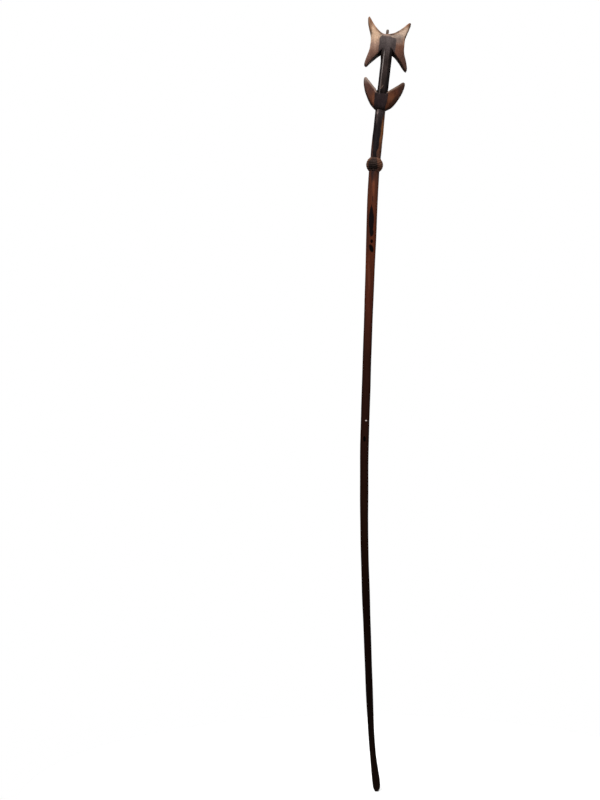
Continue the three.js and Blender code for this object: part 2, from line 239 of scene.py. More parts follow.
def roundRings(middles, radii, along, around):
    # Circles about the middles, square to the way the middle line runs in the plane of X and Z
    angle = anglesRound(around)
    along = np.broadcast_to(along, (len(middles), 2))
    side = np.column_stack([along[:, 1], np.zeros(len(along)), -along[:, 0]])
    rightward, backward = radii * np.cos(angle), radii * np.sin(angle)
    return middles[:, None] + rightward[..., None] * side[:, None] + backward[..., None] * [0, 1, 0]


def unevenRings(middles, radii, along, values):
    # The same circles, with hand unevenness added to their radii
    plain = roundRings(middles, radii, along, values["around"])
    uneven = values["toolDepth"] * handWork(plain, values["toolSize"], values["seed"])
    return roundRings(middles, radii + uneven, along, values["around"])


# Plates: a front, a back and a side wall between them

# What both plates share
plate = {
    "toolDepth": 0.00012,
    "toolSize": 0.011,
    "pillowReach": 0.006,
    "sideBulge": 0.0003,
    "sideRows": 12,
    "columns": (46, 16, 46),
    "rimDepth": 0.0025,  # over which depth a rim's mark fades on the side wall
}


def plateEdge(values, label):
    # Shares of half the span to the right and of the height up, turned into metres
    return np.array(values[label]) * [values["span"] / 2, values["height"]]


def plateSides(values, cut, whole):
    # The edges of the front and of the back. The edge that the neck cuts in two has its own halves on
    # either side, and the whole edge is the same on both. The open edges are lines to measure to.
    up = bothEnds(values["rows"])
    ends = {side: smoothPath(plateEdge(values, side + "Shares"), up) for side in ("left", "right")}
    sides = []
    for facing in ("front", "back"):
        left, right = (plateEdge(values, facing + half + cut + "Shares") for half in ("Left", "Right"))
        cutEdge = seatedEdge(left, right, values["columns"])
        lines = {**ends, **whole, cut.lower(): cutEdge}
        lines["open"] = {
            "leftEdge": ends["left"], "rightEdge": ends["right"],
            "left" + cut: smoothPath(left, bothEnds(pathPoints)),
            "right" + cut: smoothPath(right, bothEnds(pathPoints)),
        }
        sides.append(lines)
    return sides


def carvedPlate(name, values, sides, across, foot, nodes, slot):
    # The half thickness is that of the middle, less towards the tips and a little less towards the edges,
    # and falls by a quarter circle where the face rounds over into the side wall. The wall is a straight
    # blend of the two rims that bulges outward by a parabola.
    up = bothEnds(values["rows"])
    reach = math.hypot(values["span"], values["height"]) / 2
    points, marks = [], {label: [] for label in values["glows"]}
    for facing, edges in zip((-1, 1), sides):
        flat = fourSided(edges, across, up)
        gaps = {label: distanceTo(flat, line) for label, line in edges["open"].items()}
        toEdge = np.min(list(gaps.values()), axis=0)
        away = np.linalg.norm(flat - [0, values["middleRise"]], axis=-1) / reach
        half = values["thickness"] / 2 * (1 - values["tipThinShare"] * away ** 2)
        half -= values["pillow"] * np.exp(-toEdge / values["pillowReach"])
        rounding = values["edgeRound"]
        inside = rounding - np.minimum(toEdge, rounding)
        half -= rounding - np.sqrt(rounding ** 2 - inside ** 2)
        solid = np.stack([flat[..., 0], facing * half, flat[..., 1]], -1)
        half += values["toolDepth"] * handWork(solid, values["toolSize"], values["seed"])
        solid[..., 1] = facing * half
        points.append(solid.reshape(-1, 3))
        for label, (inset, width, power) in values["glows"].items():
            marks[label].append(bell(gaps[label] - inset, width, power).ravel())
    rows, columns = len(up), len(across)
    count = rows * columns
    rim = np.concatenate([
        np.arange(columns - 1), np.arange(rows - 1) * columns + columns - 1,
        (rows - 1) * columns + np.arange(columns - 1, 0, -1), np.arange(rows - 1, 0, -1) * columns,
    ])
    frontRim, backRim = points[0][rim], points[1][rim]
    run = np.roll(frontRim, -1, 0) - np.roll(frontRim, 1, 0)
    outward = unitRows(np.column_stack([run[:, 2], np.zeros(len(run)), -run[:, 0]]))
    share = np.linspace(0, 1, values["sideRows"])[1:-1, None, None]
    bulge = values["sideBulge"] * (1 - (2 * share - 1) ** 2)
    wall = frontRim * (1 - share) + backRim * share + outward * bulge
    points = np.vstack([*points, wall.reshape(-1, 3)])
    # A rim's mark fades on the wall as it leaves either face, and any other mark runs right across
    nearFace = bell(np.minimum(share, 1 - share)[..., 0] * values["thickness"], values["rimDepth"])
    for label, faces in marks.items():
        kept = nearFace if label in values["rims"] else np.ones_like(nearFace)
        marks[label] = np.concatenate([*faces, (faces[0][rim] * kept).ravel()])
    wallNumbers = 2 * count + np.arange(len(wall) * len(rim)).reshape(len(wall), -1)
    wallRows = np.vstack([rim, wallNumbers, count + rim])
    beside = np.roll(wallRows, -1, 1)
    wallFaces = np.stack([wallRows[:-1], wallRows[1:], beside[1:], beside[:-1]], -1).reshape(-1, 4)
    frontFaces = gridQuads(columns, rows)
    faces = frontFaces.tolist() + (frontFaces[:, ::-1] + count).tolist() + wallFaces.tolist()
    return makePiece(name, leaning(points, foot, headUp), faces, nodes, slot, marks)


# Crown: four horns, a saddle between the upper two and a notch on either side of the neck

crown = {
    **plate,
    "span": 0.068,
    "height": 0.074,
    "middleRise": 0.01332,  # how high its thickest place is above the neck's seat
    "thickness": 0.025,
    "tipThinShare": 0.3,
    "edgeRound": 0.0017,
    "pillow": 0.0006,
    "rows": 96,
    "seed": 3,
    "seatShares": (0.38, 0.6),  # where along the edges the neck's seat starts and ends
    "paleRim": (0.4, 0.565),  # where along the saddle its rim is pale, beside the pin
    "rims": ("saddleLeft", "saddleRight"),  # the marks that fade on the side wall
    # How far inside its edge the mark runs, how far it reaches from there, and the power of its fall
    "glows": {
        "topEdge": (0, 0.003, 2), "saddleLeft": (0, 0.003, 2), "saddleRight": (0, 0.003, 2),
        "leftEdge": (0, 0.0021, 4), "rightEdge": (0, 0.0021, 4),
        # The under marks carry painted shade onto the notches' undersides
        "leftUnder": (0, 0.0003, 2), "rightUnder": (0, 0.0003, 2),
    },
    # Share of half the span to the right, and share of the height above the neck's seat
    "leftShares": [
        (-0.9, -0.316), (-0.968, -0.288), (-0.968, -0.236), (-0.926, -0.15), (-0.865, -0.048),
        (-0.82, 0.047), (-0.804, 0.147), (-0.804, 0.257), (-0.842, 0.362), (-0.932, 0.475), (-1.006, 0.575),
        (-1.034, 0.645), (-1.04, 0.69), (-1.008, 0.706),
    ],
    "rightShares": [
        (0.94, -0.334), (0.972, -0.308), (0.961, -0.262), (0.908, -0.173), (0.841, -0.088), (0.779, -0.013),
        (0.742, 0.067), (0.728, 0.157), (0.72, 0.252), (0.737, 0.347), (0.796, 0.437), (0.862, 0.538),
        (0.908, 0.618), (0.908, 0.65), (0.872, 0.669),
    ],
    "saddleShares": [
        (-1.008, 0.706), (-0.95, 0.682), (-0.8, 0.581), (-0.655, 0.5), (-0.485, 0.428), (-0.318, 0.38),
        (-0.16, 0.367), (-0.01, 0.38), (0.225, 0.419), (0.425, 0.484), (0.61, 0.561), (0.79, 0.648),
        (0.872, 0.669),
    ],
    "backLeftUnderShares": [
        (-0.9, -0.316), (-0.836, -0.3), (-0.714, -0.23), (-0.556, -0.15), (-0.405, -0.077),
        (-0.235, -0.011),
    ],
    "backRightUnderShares": [
        (0.235, -0.007), (0.325, -0.035), (0.42, -0.073), (0.592, -0.158), (0.736, -0.245), (0.866, -0.312),
        (0.94, -0.334),
    ],
    # In front the notches are cut a little further up, to a point beside the neck
    "frontLeftUnderShares": [
        (-0.9, -0.316), (-0.836, -0.299), (-0.72, -0.222), (-0.565, -0.13), (-0.415, -0.038),
        (-0.235, 0.056),
    ],
    "frontRightUnderShares": [
        (0.135, 0.085), (0.288, 0.008), (0.442, -0.072), (0.602, -0.15), (0.746, -0.239), (0.87, -0.308),
        (0.94, -0.334),
    ],
}


def makeCrown(values):
    # The saddle is one whole edge on top, and the neck cuts the underside in two
    across = seatedShares(*values["seatShares"], values["columns"])
    saddle = smoothPath(plateEdge(values, "saddleShares"), across)
    leftEnd, rightStart = values["paleRim"]
    sides = plateSides(values, "Under", {"top": saddle})
    for lines in sides:
        lines["open"] |= {
            "topEdge": saddle, "saddleLeft": saddle[across < leftEnd],
            "saddleRight": saddle[across > rightStart],
        }
    return carvedPlate("carved_crown", values, sides, across, crownFoot, ["crown"], "pale_wood")


crownPiece = makeCrown(crown)

# Crescent: a boat-shaped plate below the neck

crescent = {
    **plate,
    "span": 0.063,
    "height": 0.0465,
    "middleRise": stack["crescentSeatRise"] / 2,
    "thickness": 0.022,
    "tipThinShare": 0.35,
    "edgeRound": 0.0018,
    "pillow": 0.0007,
    "rows": 60,
    "seed": 8,
    "seatShares": (0.39, 0.61),
    "rims": ("leftRim",),
    "glows": {
        # leftTop and rightTop carry painted highlights on the upper edges, leftRim painted shade beside the
        # neck, underside painted shade on the keel
        "leftTop": (0.0017, 0.0014, 2), "rightTop": (0.0016, 0.0014, 2), "leftRim": (0, 0.0009, 4),
        "underside": (0, 0.0003, 2),
    },
    "leftUnderShares": [
        (-0.978, 0.9), (-0.952, 0.775), (-0.86, 0.576), (-0.757, 0.436), (-0.632, 0.282), (-0.468, 0.132),
        (-0.241, 0.003),
    ],
    "rightUnderShares": [
        (0.241, 0.003), (0.524, 0.13), (0.711, 0.297), (0.873, 0.5), (0.962, 0.645), (1.018, 0.778),
        (1.043, 0.885),
    ],
    "leftShares": [(-0.978, 0.9), (-0.972, 0.992), (-0.892, 1.022)],
    "rightShares": [(1.043, 0.885), (1.03, 0.96), (0.958, 0.986)],
    "backLeftTopShares": [(-0.892, 1.022), (-0.79, 0.956), (-0.63, 0.84), (-0.44, 0.708), (-0.26, 0.613)],
    "backRightTopShares": [(0.26, 0.625), (0.54, 0.768), (0.76, 0.887), (0.878, 0.96), (0.958, 0.986)],
    # In front the edge runs on down across the neck's corners, to the neck's flat front
    "frontLeftTopShares": [
        (-0.892, 1.022), (-0.79, 0.956), (-0.63, 0.84), (-0.452, 0.714), (-0.368, 0.663), (-0.336, 0.618),
        (-0.275, 0.553), (-0.165, 0.499),
    ],
    "frontRightTopShares": [
        (0.13, 0.519), (0.212, 0.583), (0.2925, 0.634), (0.54, 0.768), (0.76, 0.887), (0.878, 0.96),
        (0.958, 0.986),
    ],
}


def makeCrescent(values):
    # The keel is one whole edge with a seat in its middle, and the neck cuts the upper edge in two
    across = seatedShares(*values["seatShares"], values["columns"])
    keelHalves = (plateEdge(values, label) for label in ("leftUnderShares", "rightUnderShares"))
    keel = seatedEdge(*keelHalves, values["columns"])
    sides = plateSides(values, "Top", {"under": keel})
    for lines in sides:
        # The keel carries the underside's painted shade
        lines["open"] |= {"underside": keel, "leftRim": lines["open"]["leftTop"]}
    return carvedPlate("carved_crescent", values, sides, across, crescentFoot, ["crescent"], "brown_wood")


crescentPiece = makeCrescent(crescent)

# Neck: a post with flat front, back and sides and cut corners, deeper where it runs into either plate

neck = {
    "leftBevel": 0.0018,
    "rightBevel": 0.0029,
    "leftShade": 0.0026,  # how far the painted shade of either side reaches over the front
    "rightShade": 0.005,
    "leftSoft": 0.0009,  # how softly it ends
    "rightSoft": 0.0016,
    "arrisFromLeft": 0.0032,  # where the worn arris with its painted highlight runs, how wide it is, and where and how softly it ends
    "arrisReach": 0.0005,
    "arrisTop": 0.0625,
    "arrisFade": 0.008,
    "leftFlare": 0.003,  # how far its left side spreads into the crescent, up to which rise and how softly
    "flareRise": -0.0022,
    "flareReach": 0.002,
    "topFlare": 0.0012,  # how far its left side spreads under the crown, from which rise and how softly
    "topFlareRise": 0.058,
    "topFlareReach": 0.0075,
    "sway": 0.0003,  # how far its top sits to the left of its foot
    "cornerSoftness": 5,  # how many neighbours a corner is evened out over
    "around": 168,
    "rings": 150,
    "toolDepth": 0.0001,
    "toolSize": 0.016,
    "seed": 5,
    # Rise above the neck's foot, and half its depth there, in metres
    "depthSizes": [
        (-0.012, 0.0088), (-0.0075, 0.0093), (-0.004, 0.0098), (-0.001, 0.0102), (0.0035, 0.0101),
        (0.009, 0.0097), (0.018, 0.0092), (0.03, 0.009), (0.041, 0.0092), (0.05, 0.0101), (0.0555, 0.0112),
        (0.06, 0.0119), (0.0645, 0.01205), (0.068, 0.0118), (0.073, 0.0112), (0.08, 0.0104),
    ],
}


def makeNeck(values):
    # An eight-sided section, its corners evened out by averaging neighbours, swept up and deepened by rise.
    # Its left side spreads as a bell at either end. The marks are on the front half only: either side's
    # painted shade ends in a straight slope, and the painted highlight on the worn arris is a bell that
    # ends in one under the crown.
    half = stack["neckWidth"] / 2
    left, right = values["leftBevel"], values["rightBevel"]
    ring = np.array([
        (half, -1, right), (half, 1, -right), (half - right, 1, 0), (left - half, 1, 0),
        (-half, 1, -left), (-half, -1, left), (left - half, -1, 0), (half - right, -1, 0), (half, -1, right),
    ])
    steps = np.linspace(0, 1, values["around"], endpoint=False)
    sized = ring[:, [0, 2]] + np.column_stack([np.zeros(len(ring)), ring[:, 1] * half])
    section = readOff(sized, steps, ring)
    width = values["cornerSoftness"]
    section = np.mean([np.roll(section, shift, 0) for shift in range(-width, width + 1)], axis=0)
    profile = smoothPath(values["depthSizes"], np.linspace(0, 1, values["rings"]))
    rise, depth = profile[:, 0], profile[:, 1]
    spread = values["leftFlare"] * bell(np.maximum(rise - values["flareRise"], 0), values["flareReach"])
    spread += values["topFlare"] * bell(np.maximum(values["topFlareRise"] - rise, 0), values["topFlareReach"])
    sway = values["sway"] * np.clip(rise / stack["neckLength"], 0, 1)
    across = section[:, 0] - spread[:, None] * np.clip(-section[:, 0] / half, 0, 1) - sway[:, None]
    back = section[:, 1] * depth[:, None] + section[:, 2]
    rings = np.stack([across, back, np.broadcast_to(rise[:, None], across.shape)], -1)
    uneven = values["toolDepth"] * handWork(rings, values["toolSize"], values["seed"])
    rings[..., :2] *= 1 + uneven[..., None] / half
    points, faces = closedTube(rings)
    inFront = slope(-points[:, 1], half)
    fromLeft, fromRight = points[:, 0] + half, half - points[:, 0]
    wornAndLit = np.clip((values["arrisTop"] - points[:, 2]) / values["arrisFade"], 0, 1)
    marks = {
        "leftSide": inFront * slope(values["leftShade"] - fromLeft, values["leftSoft"]),
        "rightSide": inFront * slope(values["rightShade"] - fromRight, values["rightSoft"]),
        "arris": inFront * wornAndLit * bell(fromLeft - values["arrisFromLeft"], values["arrisReach"]),
    }
    points = leaning(points, neckFoot, headUp)
    return makePiece("carved_neck", points, faces, ["neck"], "black_heartwood", marks)


neckPiece = makeNeck(neck)

# Upper shaft: straight and nearly round, with faint flats from the knife

upperShaft = {
    "width": 0.0156,
    "around": 72,
    "rings": 140,
    "flats": 9,
    "flatDepth": 0.00012,
    "flatTurn": 0.8,  # how far round the flats start, in radians
    "toolDepth": 0.00016,
    "toolSize": 0.02,
    "seed": 12,
    # Rise above the knob, and width as a share of the width under the crescent
    "stationSizes": [
        (-0.0016, 1.02), (0.0059, 1.04), (0.0133, 1.06), (0.031, 1.05), (0.0554, 1.01), (0.0738, 1),
        (0.0795, 1),
    ],
}


def makeUpperShaft(values):
    # A circle swept straight up, its radius changed by the station, the flats and hand unevenness
    stations = np.array(values["stationSizes"]) * [1, values["width"] / 2]
    rise, radius = smoothPath(stations, np.linspace(0, 1, values["rings"])).T
    middles = upperFoot + rise[:, None] * upperUp
    flats = np.cos(values["flats"] * anglesRound(values["around"]) + values["flatTurn"])
    radii = radius[:, None] + values["flatDepth"] * flats
    rings = unevenRings(middles, radii, upperUp[[0, 2]], values)
    return makePiece("carved_upper_shaft", *closedTube(rings), ["upper_shaft"], "brown_wood")


upperShaftPiece = makeUpperShaft(upperShaft)

# Knob: a ball scored across with ridges that are cut by eye

knob = {
    "diameter": 0.0267,
    "ridges": 8,
    "ridgeDepth": 0.0009,
    "groovePower": 0.7,  # below 1 it narrows the grooves between the ridges
    "slant": 0.12,  # how far a ridge wanders up and down as it goes round, in ridges
    "slantWaves": [(1, 1, 0.6), (2, 0.6, 2), (5, 0.4, 0)],  # waves in a turn, share of the slant, start
    "deepShare": 0.35,  # how much deeper and shallower a groove gets
    "deepTurns": (3, 2),  # how many times it does so in a turn, and how far it shifts from ridge to ridge
    "nickDepth": 0.00025,
    "nicks": 46,
    "nickShift": 3,  # how far the nicks shift from ridge to ridge
    "nickPower": 8,  # the higher, the narrower a nick
    "shoulderLoss": 0.001,  # how much lower the right shoulder is than the left
    "leftShift": 0.0002,  # how far the ball sits left of the middle line
    "overrun": 0.0007,  # how far the ball runs on into the shaft above and below
    "around": 220,
    "rings": 200,
}


def makeKnob(values):
    # At each rise the radius is that of a ball, less a groove between each two ridges. The groove's phase
    # wanders as it goes round, and small nicks, a cosine to a high power, cross the ridges.
    half = stack["knobHeight"] / 2 + values["overrun"]
    rise = np.linspace(-half, half, values["rings"])[:, None]
    angle = anglesRound(values["around"])
    ball = np.sqrt((values["diameter"] / 2) ** 2 - rise ** 2)
    waves = (share * np.sin(count * angle + start) for count, share, start in values["slantWaves"])
    wander = values["slant"] * sum(waves)
    phase = values["ridges"] * (rise / stack["knobHeight"] + 0.5) + wander
    groove = 1 - np.abs(np.sin(math.pi * phase)) ** values["groovePower"]
    nick = np.cos(values["nicks"] * angle + values["nickShift"] * np.floor(phase)) ** values["nickPower"]
    turns, steps = values["deepTurns"]
    deep = 1 + values["deepShare"] * np.sin(turns * angle + steps * phase)
    radius = ball - values["ridgeDepth"] * groove * deep - values["nickDepth"] * nick
    radius -= values["shoulderLoss"] * np.clip(np.cos(angle), 0, 1) * np.clip(rise / half, 0, 1)
    middles = knobMiddle - [values["leftShift"], 0, 0] + rise * upperUp
    rings = roundRings(middles, radius, upperUp[[0, 2]], values["around"])
    # The groove mark goes to the material, which paints shade into the grooves
    marks = {"groove": np.append(groove.ravel(), [0, 0])}
    return makePiece("carved_knob", *closedTube(rings), ["knob"], "knob_wood", marks)


knobPiece = makeKnob(knob)

# Shaft: bent to the left on its way up, with a swollen foot and a small blunt tip

shaft = {
    "rise": 0.9595,
    "width": 0.0162,
    "bowReach": 0.0197,
    "tipWidth": 0.005,
    "footRound": 0.0095,
    "footShare": 0.014,  # the share of its length at the foot where the rings lie closer, and how many do
    "footRings": 40,
    "overrun": 0.002,  # how far it runs on into the knob
    "around": 64,
    "rings": 720,
    "flats": 8,
    "flatDepth": 0.00007,
    "toolDepth": 0.00018,
    "toolSize": 0.05,
    "seed": 21,
    # Share of the rise, share of the bow to the left, and share of the width at the knob
    "stationShares": [
        (0, 0, 0.68), (0.009, 0.035, 0.71), (0.018, 0.075, 0.73), (0.028, 0.135, 0.705),
        (0.038, 0.195, 0.67), (0.057, 0.3, 0.595), (0.076, 0.38, 0.585), (0.096, 0.45, 0.59),
        (0.125, 0.52, 0.63), (0.155, 0.58, 0.66), (0.23, 0.715, 0.695), (0.31, 0.85, 0.75),
        (0.385, 0.965, 0.755), (0.44, 0.998, 0.775), (0.5, 1, 0.805), (0.55, 0.985, 0.82),
        (0.6, 0.925, 0.835), (0.66, 0.835, 0.83), (0.735, 0.722, 0.83), (0.81, 0.59, 0.88),
        (0.89, 0.46, 0.96), (0.93, 0.39, 1.005), (0.965, 0.318, 1.01), (1, 0.225, 1),
    ],
    # An empty nail hole in the front: where it is, how far it reaches and how deep it is
    "holePlace": (-0.0196, 0.5461),
    "holeReach": (0.0014, 0.0032),
    "holeDepth": 0.0014,
}


def makeShaft(values):
    # A circle carried along the bent middle line, its radius changed by the station, the rounded foot, the
    # flats and hand unevenness. The rounded foot is a quarter of an oval that ends in the flat tip, and the
    # nail hole pushes the front in by a bell curve.
    sizes = [-values["bowReach"], values["rise"], values["width"] / 2]
    stations = np.array(values["stationShares"])[:, [1, 0, 2]] * sizes
    close, share = values["footRings"], values["footShare"]
    crowded = share * np.linspace(0, 1, close, endpoint=False) ** 2
    shares = np.concatenate([crowded, np.linspace(share, 1, values["rings"] - close)])
    end = stations[-1] + values["overrun"] * np.array([upperUp[0], upperUp[2], 0])
    side, rise, radius = np.vstack([smoothPath(stations, shares), end]).T
    near = np.clip(1 - rise / values["footRound"], 0, 1)
    tipShare = values["tipWidth"] / 2 / radius[0]
    radius = radius * np.sqrt(1 - near ** 2 * (1 - tipShare ** 2))
    along = unitRows(np.column_stack([np.gradient(side), np.gradient(rise)]))
    along[0] = (0, 1)
    middles = np.column_stack([side, np.zeros(len(side)), rise])
    flats = values["flatDepth"] * np.cos(values["flats"] * anglesRound(values["around"]))
    flats = flats * (1 - near[:, None])
    plain = roundRings(middles, radius[:, None] + flats, along, values["around"])
    uneven = values["toolDepth"] * handWork(plain, values["toolSize"], values["seed"]) * (1 - near[:, None])
    fromHole = (plain[..., [0, 2]] - values["holePlace"]) / values["holeReach"]
    hole = values["holeDepth"] * np.exp(-(fromHole ** 2).sum(-1)) * (plain[..., 1] < 0)
    rings = roundRings(middles, radius[:, None] + flats + uneven - hole, along, values["around"])
    rings[..., 2] = np.maximum(rings[..., 2], 0)
    return makePiece("carved_shaft", *closedTube(rings), ["shaft"], "red_brown_wood")


shaftPiece = makeShaft(shaft)

# Pin: a worn threaded stub in the crown's saddle

pin = {
    "width": 0.0048,
    "solidStand": 0.01,  # how far the solid's pin stands up, and how far this worn one does
    "stand": 0.0093,
    "sunk": 0.012,
    "tipWidth": 0.004,
    "tipRise": 0.0026,
    "tipSoft": 0.0008,  # over which height it narrows
    "endRound": 0.0007,  # over which height its end rounds, and which share of the area it loses there
    "endLoss": 0.75,
    "threadDepth": 0.00034,
    "threadPitch": 0.0015,
    "threadWear": 0.6,  # share of the thread that is worn away at the tip
    "toolDepth": 0.00008,
    "toolSize": 0.0016,
    "seed": 31,
    "around": 48,
    "rings": 150,
}


def makePin(values):
    # A circle swept up the pin's axis, less a cosine groove that climbs one pitch for each turn. The tip
    # narrows smoothly to a second, smaller circle and ends in a rounded edge.
    low, high = (np.array(corner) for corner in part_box("crown_pin"))
    top = np.array([(low[0] + high[0]) / 2 + (high[2] - low[2]) / 2 * headUp[0] / headUp[2], 0, high[2]])
    foot = top - headUp * values["solidStand"]
    rise = np.linspace(-values["sunk"], values["stand"], values["rings"])[:, None]
    angle = anglesRound(values["around"])
    narrowing = np.clip((rise - values["stand"] + values["tipRise"]) / values["tipSoft"], 0, 1)
    narrowing = narrowing ** 2 * (3 - 2 * narrowing)
    radius = (values["width"] * (1 - narrowing) + values["tipWidth"] * narrowing) / 2
    thread = (1 + np.cos(2 * math.pi * rise / values["threadPitch"] - angle)) / 2
    radius = radius - values["threadDepth"] * thread * (1 - values["threadWear"] * narrowing)
    fromEnd = np.clip((values["stand"] - rise) / values["endRound"], 0, 1)
    radius = radius * np.sqrt(1 - values["endLoss"] * (1 - fromEnd) ** 2)
    rings = unevenRings(foot + rise * headUp, radius, headUp[[0, 2]], values)
    return makePiece("iron_pin", *closedTube(rings), ["crown_pin"], "pin_iron")


pinPiece = makePin(pin)

# Brad: a small worn head on the front of the shaft

brad = {
    "width": 0.0029,
    "height": 0.0019,
    "stand": 0.0006,
    "sunk": 0.0012,
    "domePower": 0.7,  # below 1 it makes the dome fuller towards its edge
    "lobes": 3,  # how many times the oval swells as it goes round, from where and by which share
    "lobeStart": 1,
    "lobeShare": 0.04,
    "around": 40,
    "rings": 24,
}


def makeBrad(values):
    # An oval that keeps its size up to the head's edge. From there it comes forward by a sine and closes in
    # by a cosine to a power, which makes a low dome.
    low, high = (np.array(corner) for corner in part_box("shaft_brad"))
    front = np.array([(low[0] + high[0]) / 2, low[1], (low[2] + high[2]) / 2])
    turn = np.linspace(0, math.pi / 2, values["rings"])[:, None]
    angle = anglesRound(values["around"])
    lobes = 1 + values["lobeShare"] * np.sin(values["lobes"] * angle + values["lobeStart"])
    closing = np.cos(turn) ** values["domePower"] * lobes
    forward = values["stand"] * np.sin(turn) + np.zeros_like(angle)
    closing = np.vstack([closing[:1], closing[:-1]])
    forward = np.vstack([forward[:1] - values["sunk"], forward[:-1]])
    dome = np.stack([
        closing * np.cos(angle) * values["width"] / 2,
        values["stand"] - forward,
        closing * np.sin(angle) * values["height"] / 2,
    ], -1)
    return makePiece("brad_head", *closedTube(front + dome), ["shaft_brad"], "brad_metal")


bradPiece = makeBrad(brad)
print("pieces made")


# Material helpers

def tone(red, green, blue):
    # Display values from 0 to 255, turned into the linear values that shaders use: a straight line for the
    # darkest and a power above it
    shares = np.array([red, green, blue]) / 255
    linear = np.where(shares <= 0.04045, shares / 12.92, ((shares + 0.055) / 1.055) ** 2.4)
    return (*linear.tolist(), 1)


def feed(tree, value, socket):
    # Links a value that comes out of a node, and sets a plain one on the socket itself
    if isinstance(value, bpy.types.NodeSocket):
        tree.links.new(value, socket)
    else:
        socket.default_value = value


def addNode(tree, kind, inputs, **settings):
    # A shader node of the kind, with its settings and what goes into it
    node = tree.nodes.new("ShaderNode" + kind)
    for label, value in settings.items():
        setattr(node, label, value)
    for label, value in inputs.items():
        feed(tree, value, node.inputs[label])
    return node


def calc(tree, operation, *values):
    # One sum on links or plain numbers
    return addNode(tree, "Math", dict(enumerate(values)), operation=operation).outputs[0]


def times(tree, first, second):
    # The two values multiplied
    return calc(tree, "MULTIPLY", first, second)


def axesOf(tree, vector):
    # Across, depth and height, taken apart
    return addNode(tree, "SeparateXYZ", {0: vector}).outputs


def vectorOf(tree, *axes):
    # Across, depth and height, put together
    return addNode(tree, "CombineXYZ", dict(enumerate(axes))).outputs[0]


def noiseAt(tree, where, fineness, detail):
    # Noise with about that many cells to the metre, around 0.5
    return addNode(tree, "TexNoise", {"Vector": where, "Scale": fineness, "Detail": detail}).outputs[0]


def shareOf(tree, value, low, high):
    # 0 where the value is low and 1 where it is high, in a straight line between
    return addNode(tree, "MapRange", {"Value": value, "From Min": low, "From Max": high}).outputs[0]


def remap(tree, value, low, high, toLow=0.0, toHigh=1.0):
    # Moves the range from low to high onto another, flat at both ends and held beyond them
    inputs = {"Value": value, "From Min": low, "From Max": high, "To Min": toLow, "To Max": toHigh}
    return addNode(tree, "MapRange", inputs, interpolation_type="SMOOTHSTEP").outputs[0]


def mixColour(tree, factor, first, second, blend="MIX"):
    # The first colour where the factor is 0 and the second, or their blend, where it is 1. The node's
    # inputs 6 and 7 are the colours, and its output 2 is the mixed one.
    node = addNode(tree, "Mix", {0: factor}, data_type="RGBA", blend_type=blend)
    feed(tree, first, node.inputs[6])
    feed(tree, second, node.inputs[7])
    return node.outputs[2]


bumpHeight = 0.0002


def bumpFrom(tree, relief, strength):
    # The surface's direction where the relief, from 0 to 1, stands up by the bump's height
    inputs = {"Height": relief, "Strength": strength, "Distance": bumpHeight}
    return addNode(tree, "Bump", inputs).outputs[0]


def startMaterial(name):
    # A new material, its node tree and the inputs of its shader
    material = bpy.data.materials.new(name)
    material.use_nodes = True
    return material, material.node_tree, material.node_tree.nodes["Principled BSDF"].inputs


def ramp(tree, value, stops):
    # A colour for each share: stops are (share, colour)
    node = addNode(tree, "ValToRGB", {0: value})
    elements = node.color_ramp.elements
    elements[0].position, elements[0].color = stops[0]
    elements[1].position, elements[1].color = stops[-1]
    for share, colour in stops[1:-1]:
        element = elements.new(share)
        element.color = colour
    return node.outputs[0]


def curveThrough(tree, value, points):
    # A value for each share, along a smooth curve through the points
    node = addNode(tree, "FloatCurve", {"Value": value})
    curve = node.mapping.curves[0]
    curve.points[0].location, curve.points[1].location = points[0], points[-1]
    for point in points[1:-1]:
        curve.points.new(*point)
    node.mapping.update()
    return node.outputs[0]


def startGroup(name, vectors, numbers, results):
    # An empty shader group: its tree, the values given to it by name, and what its results go into
    tree = bpy.data.node_groups.new(name, "ShaderNodeTree")
    kinds = {**dict.fromkeys(vectors, "Vector"), **dict.fromkeys(numbers, "Float")}
    for label, kind in kinds.items():
        tree.interface.new_socket(label, in_out="INPUT", socket_type="NodeSocket" + kind)
    for label in results:
        tree.interface.new_socket(label, in_out="OUTPUT", socket_type="NodeSocketFloat")
    start = tree.nodes.new("NodeGroupInput").outputs
    return tree, {label: start[label] for label in kinds}, tree.nodes.new("NodeGroupOutput").inputs


def placeGroup(tree, group, inputs):
    # A copy of the group in a material, with its own inputs
    return addNode(tree, "Group", inputs, node_tree=group).outputs


# Shader groups that several woods use

# Noise in the wood: whether it is drawn out along the staff, how fine it is as a share of the fineness, its
# detail, and the noise values that become 0 and 1
grainLayers = {
    "Streak": (True, 1.0, 4.0, 0.3, 0.7),
    "Blotch": (True, 0.14, 2.0, 0.3, 0.7),
    "Pores": (True, 2.4, 1.0, 0.3, 0.45),
    "Mottle": (False, 0.7, 3.0, 0.3, 0.7),
    "Flecks": (False, 1.0, 2.0, 0.57, 0.7),
}
grainStretch = 0.05  # how far drawn-out coordinates are squeezed
edgeDetail = 3.0  # the detail of the noise that breaks up an edge


def makeGrain(layers):
    # Each layer is noise on the coordinates, or on coordinates squeezed along the staff so that it is
    # drawn out, with its middle range spread from 0 to 1
    tree, given, result = startGroup("grain", ["Vector"], ["Fineness"], layers)
    x, y, z = axesOf(tree, given["Vector"])
    drawn = vectorOf(tree, x, y, times(tree, z, grainStretch))
    for label, (drawnOut, size, detail, low, high) in layers.items():
        where = drawn if drawnOut else given["Vector"]
        noise = noiseAt(tree, where, times(tree, given["Fineness"], size), detail)
        feed(tree, remap(tree, noise, low, high), result[label])
    return tree


def raggedMask(tree, given, outness, where, fineness):
    # 1 where the outness is under 1 and 0 where it is over 1, softly, its edge broken up by noise
    noise = noiseAt(tree, where, fineness, edgeDetail)
    ragged = times(tree, calc(tree, "SUBTRACT", noise, 0.5), given["Ragged"])
    beyond, within = (calc(tree, step, 1.0, given["Soft"]) for step in ("ADD", "SUBTRACT"))
    return remap(tree, calc(tree, "ADD", outness, ragged), beyond, within)


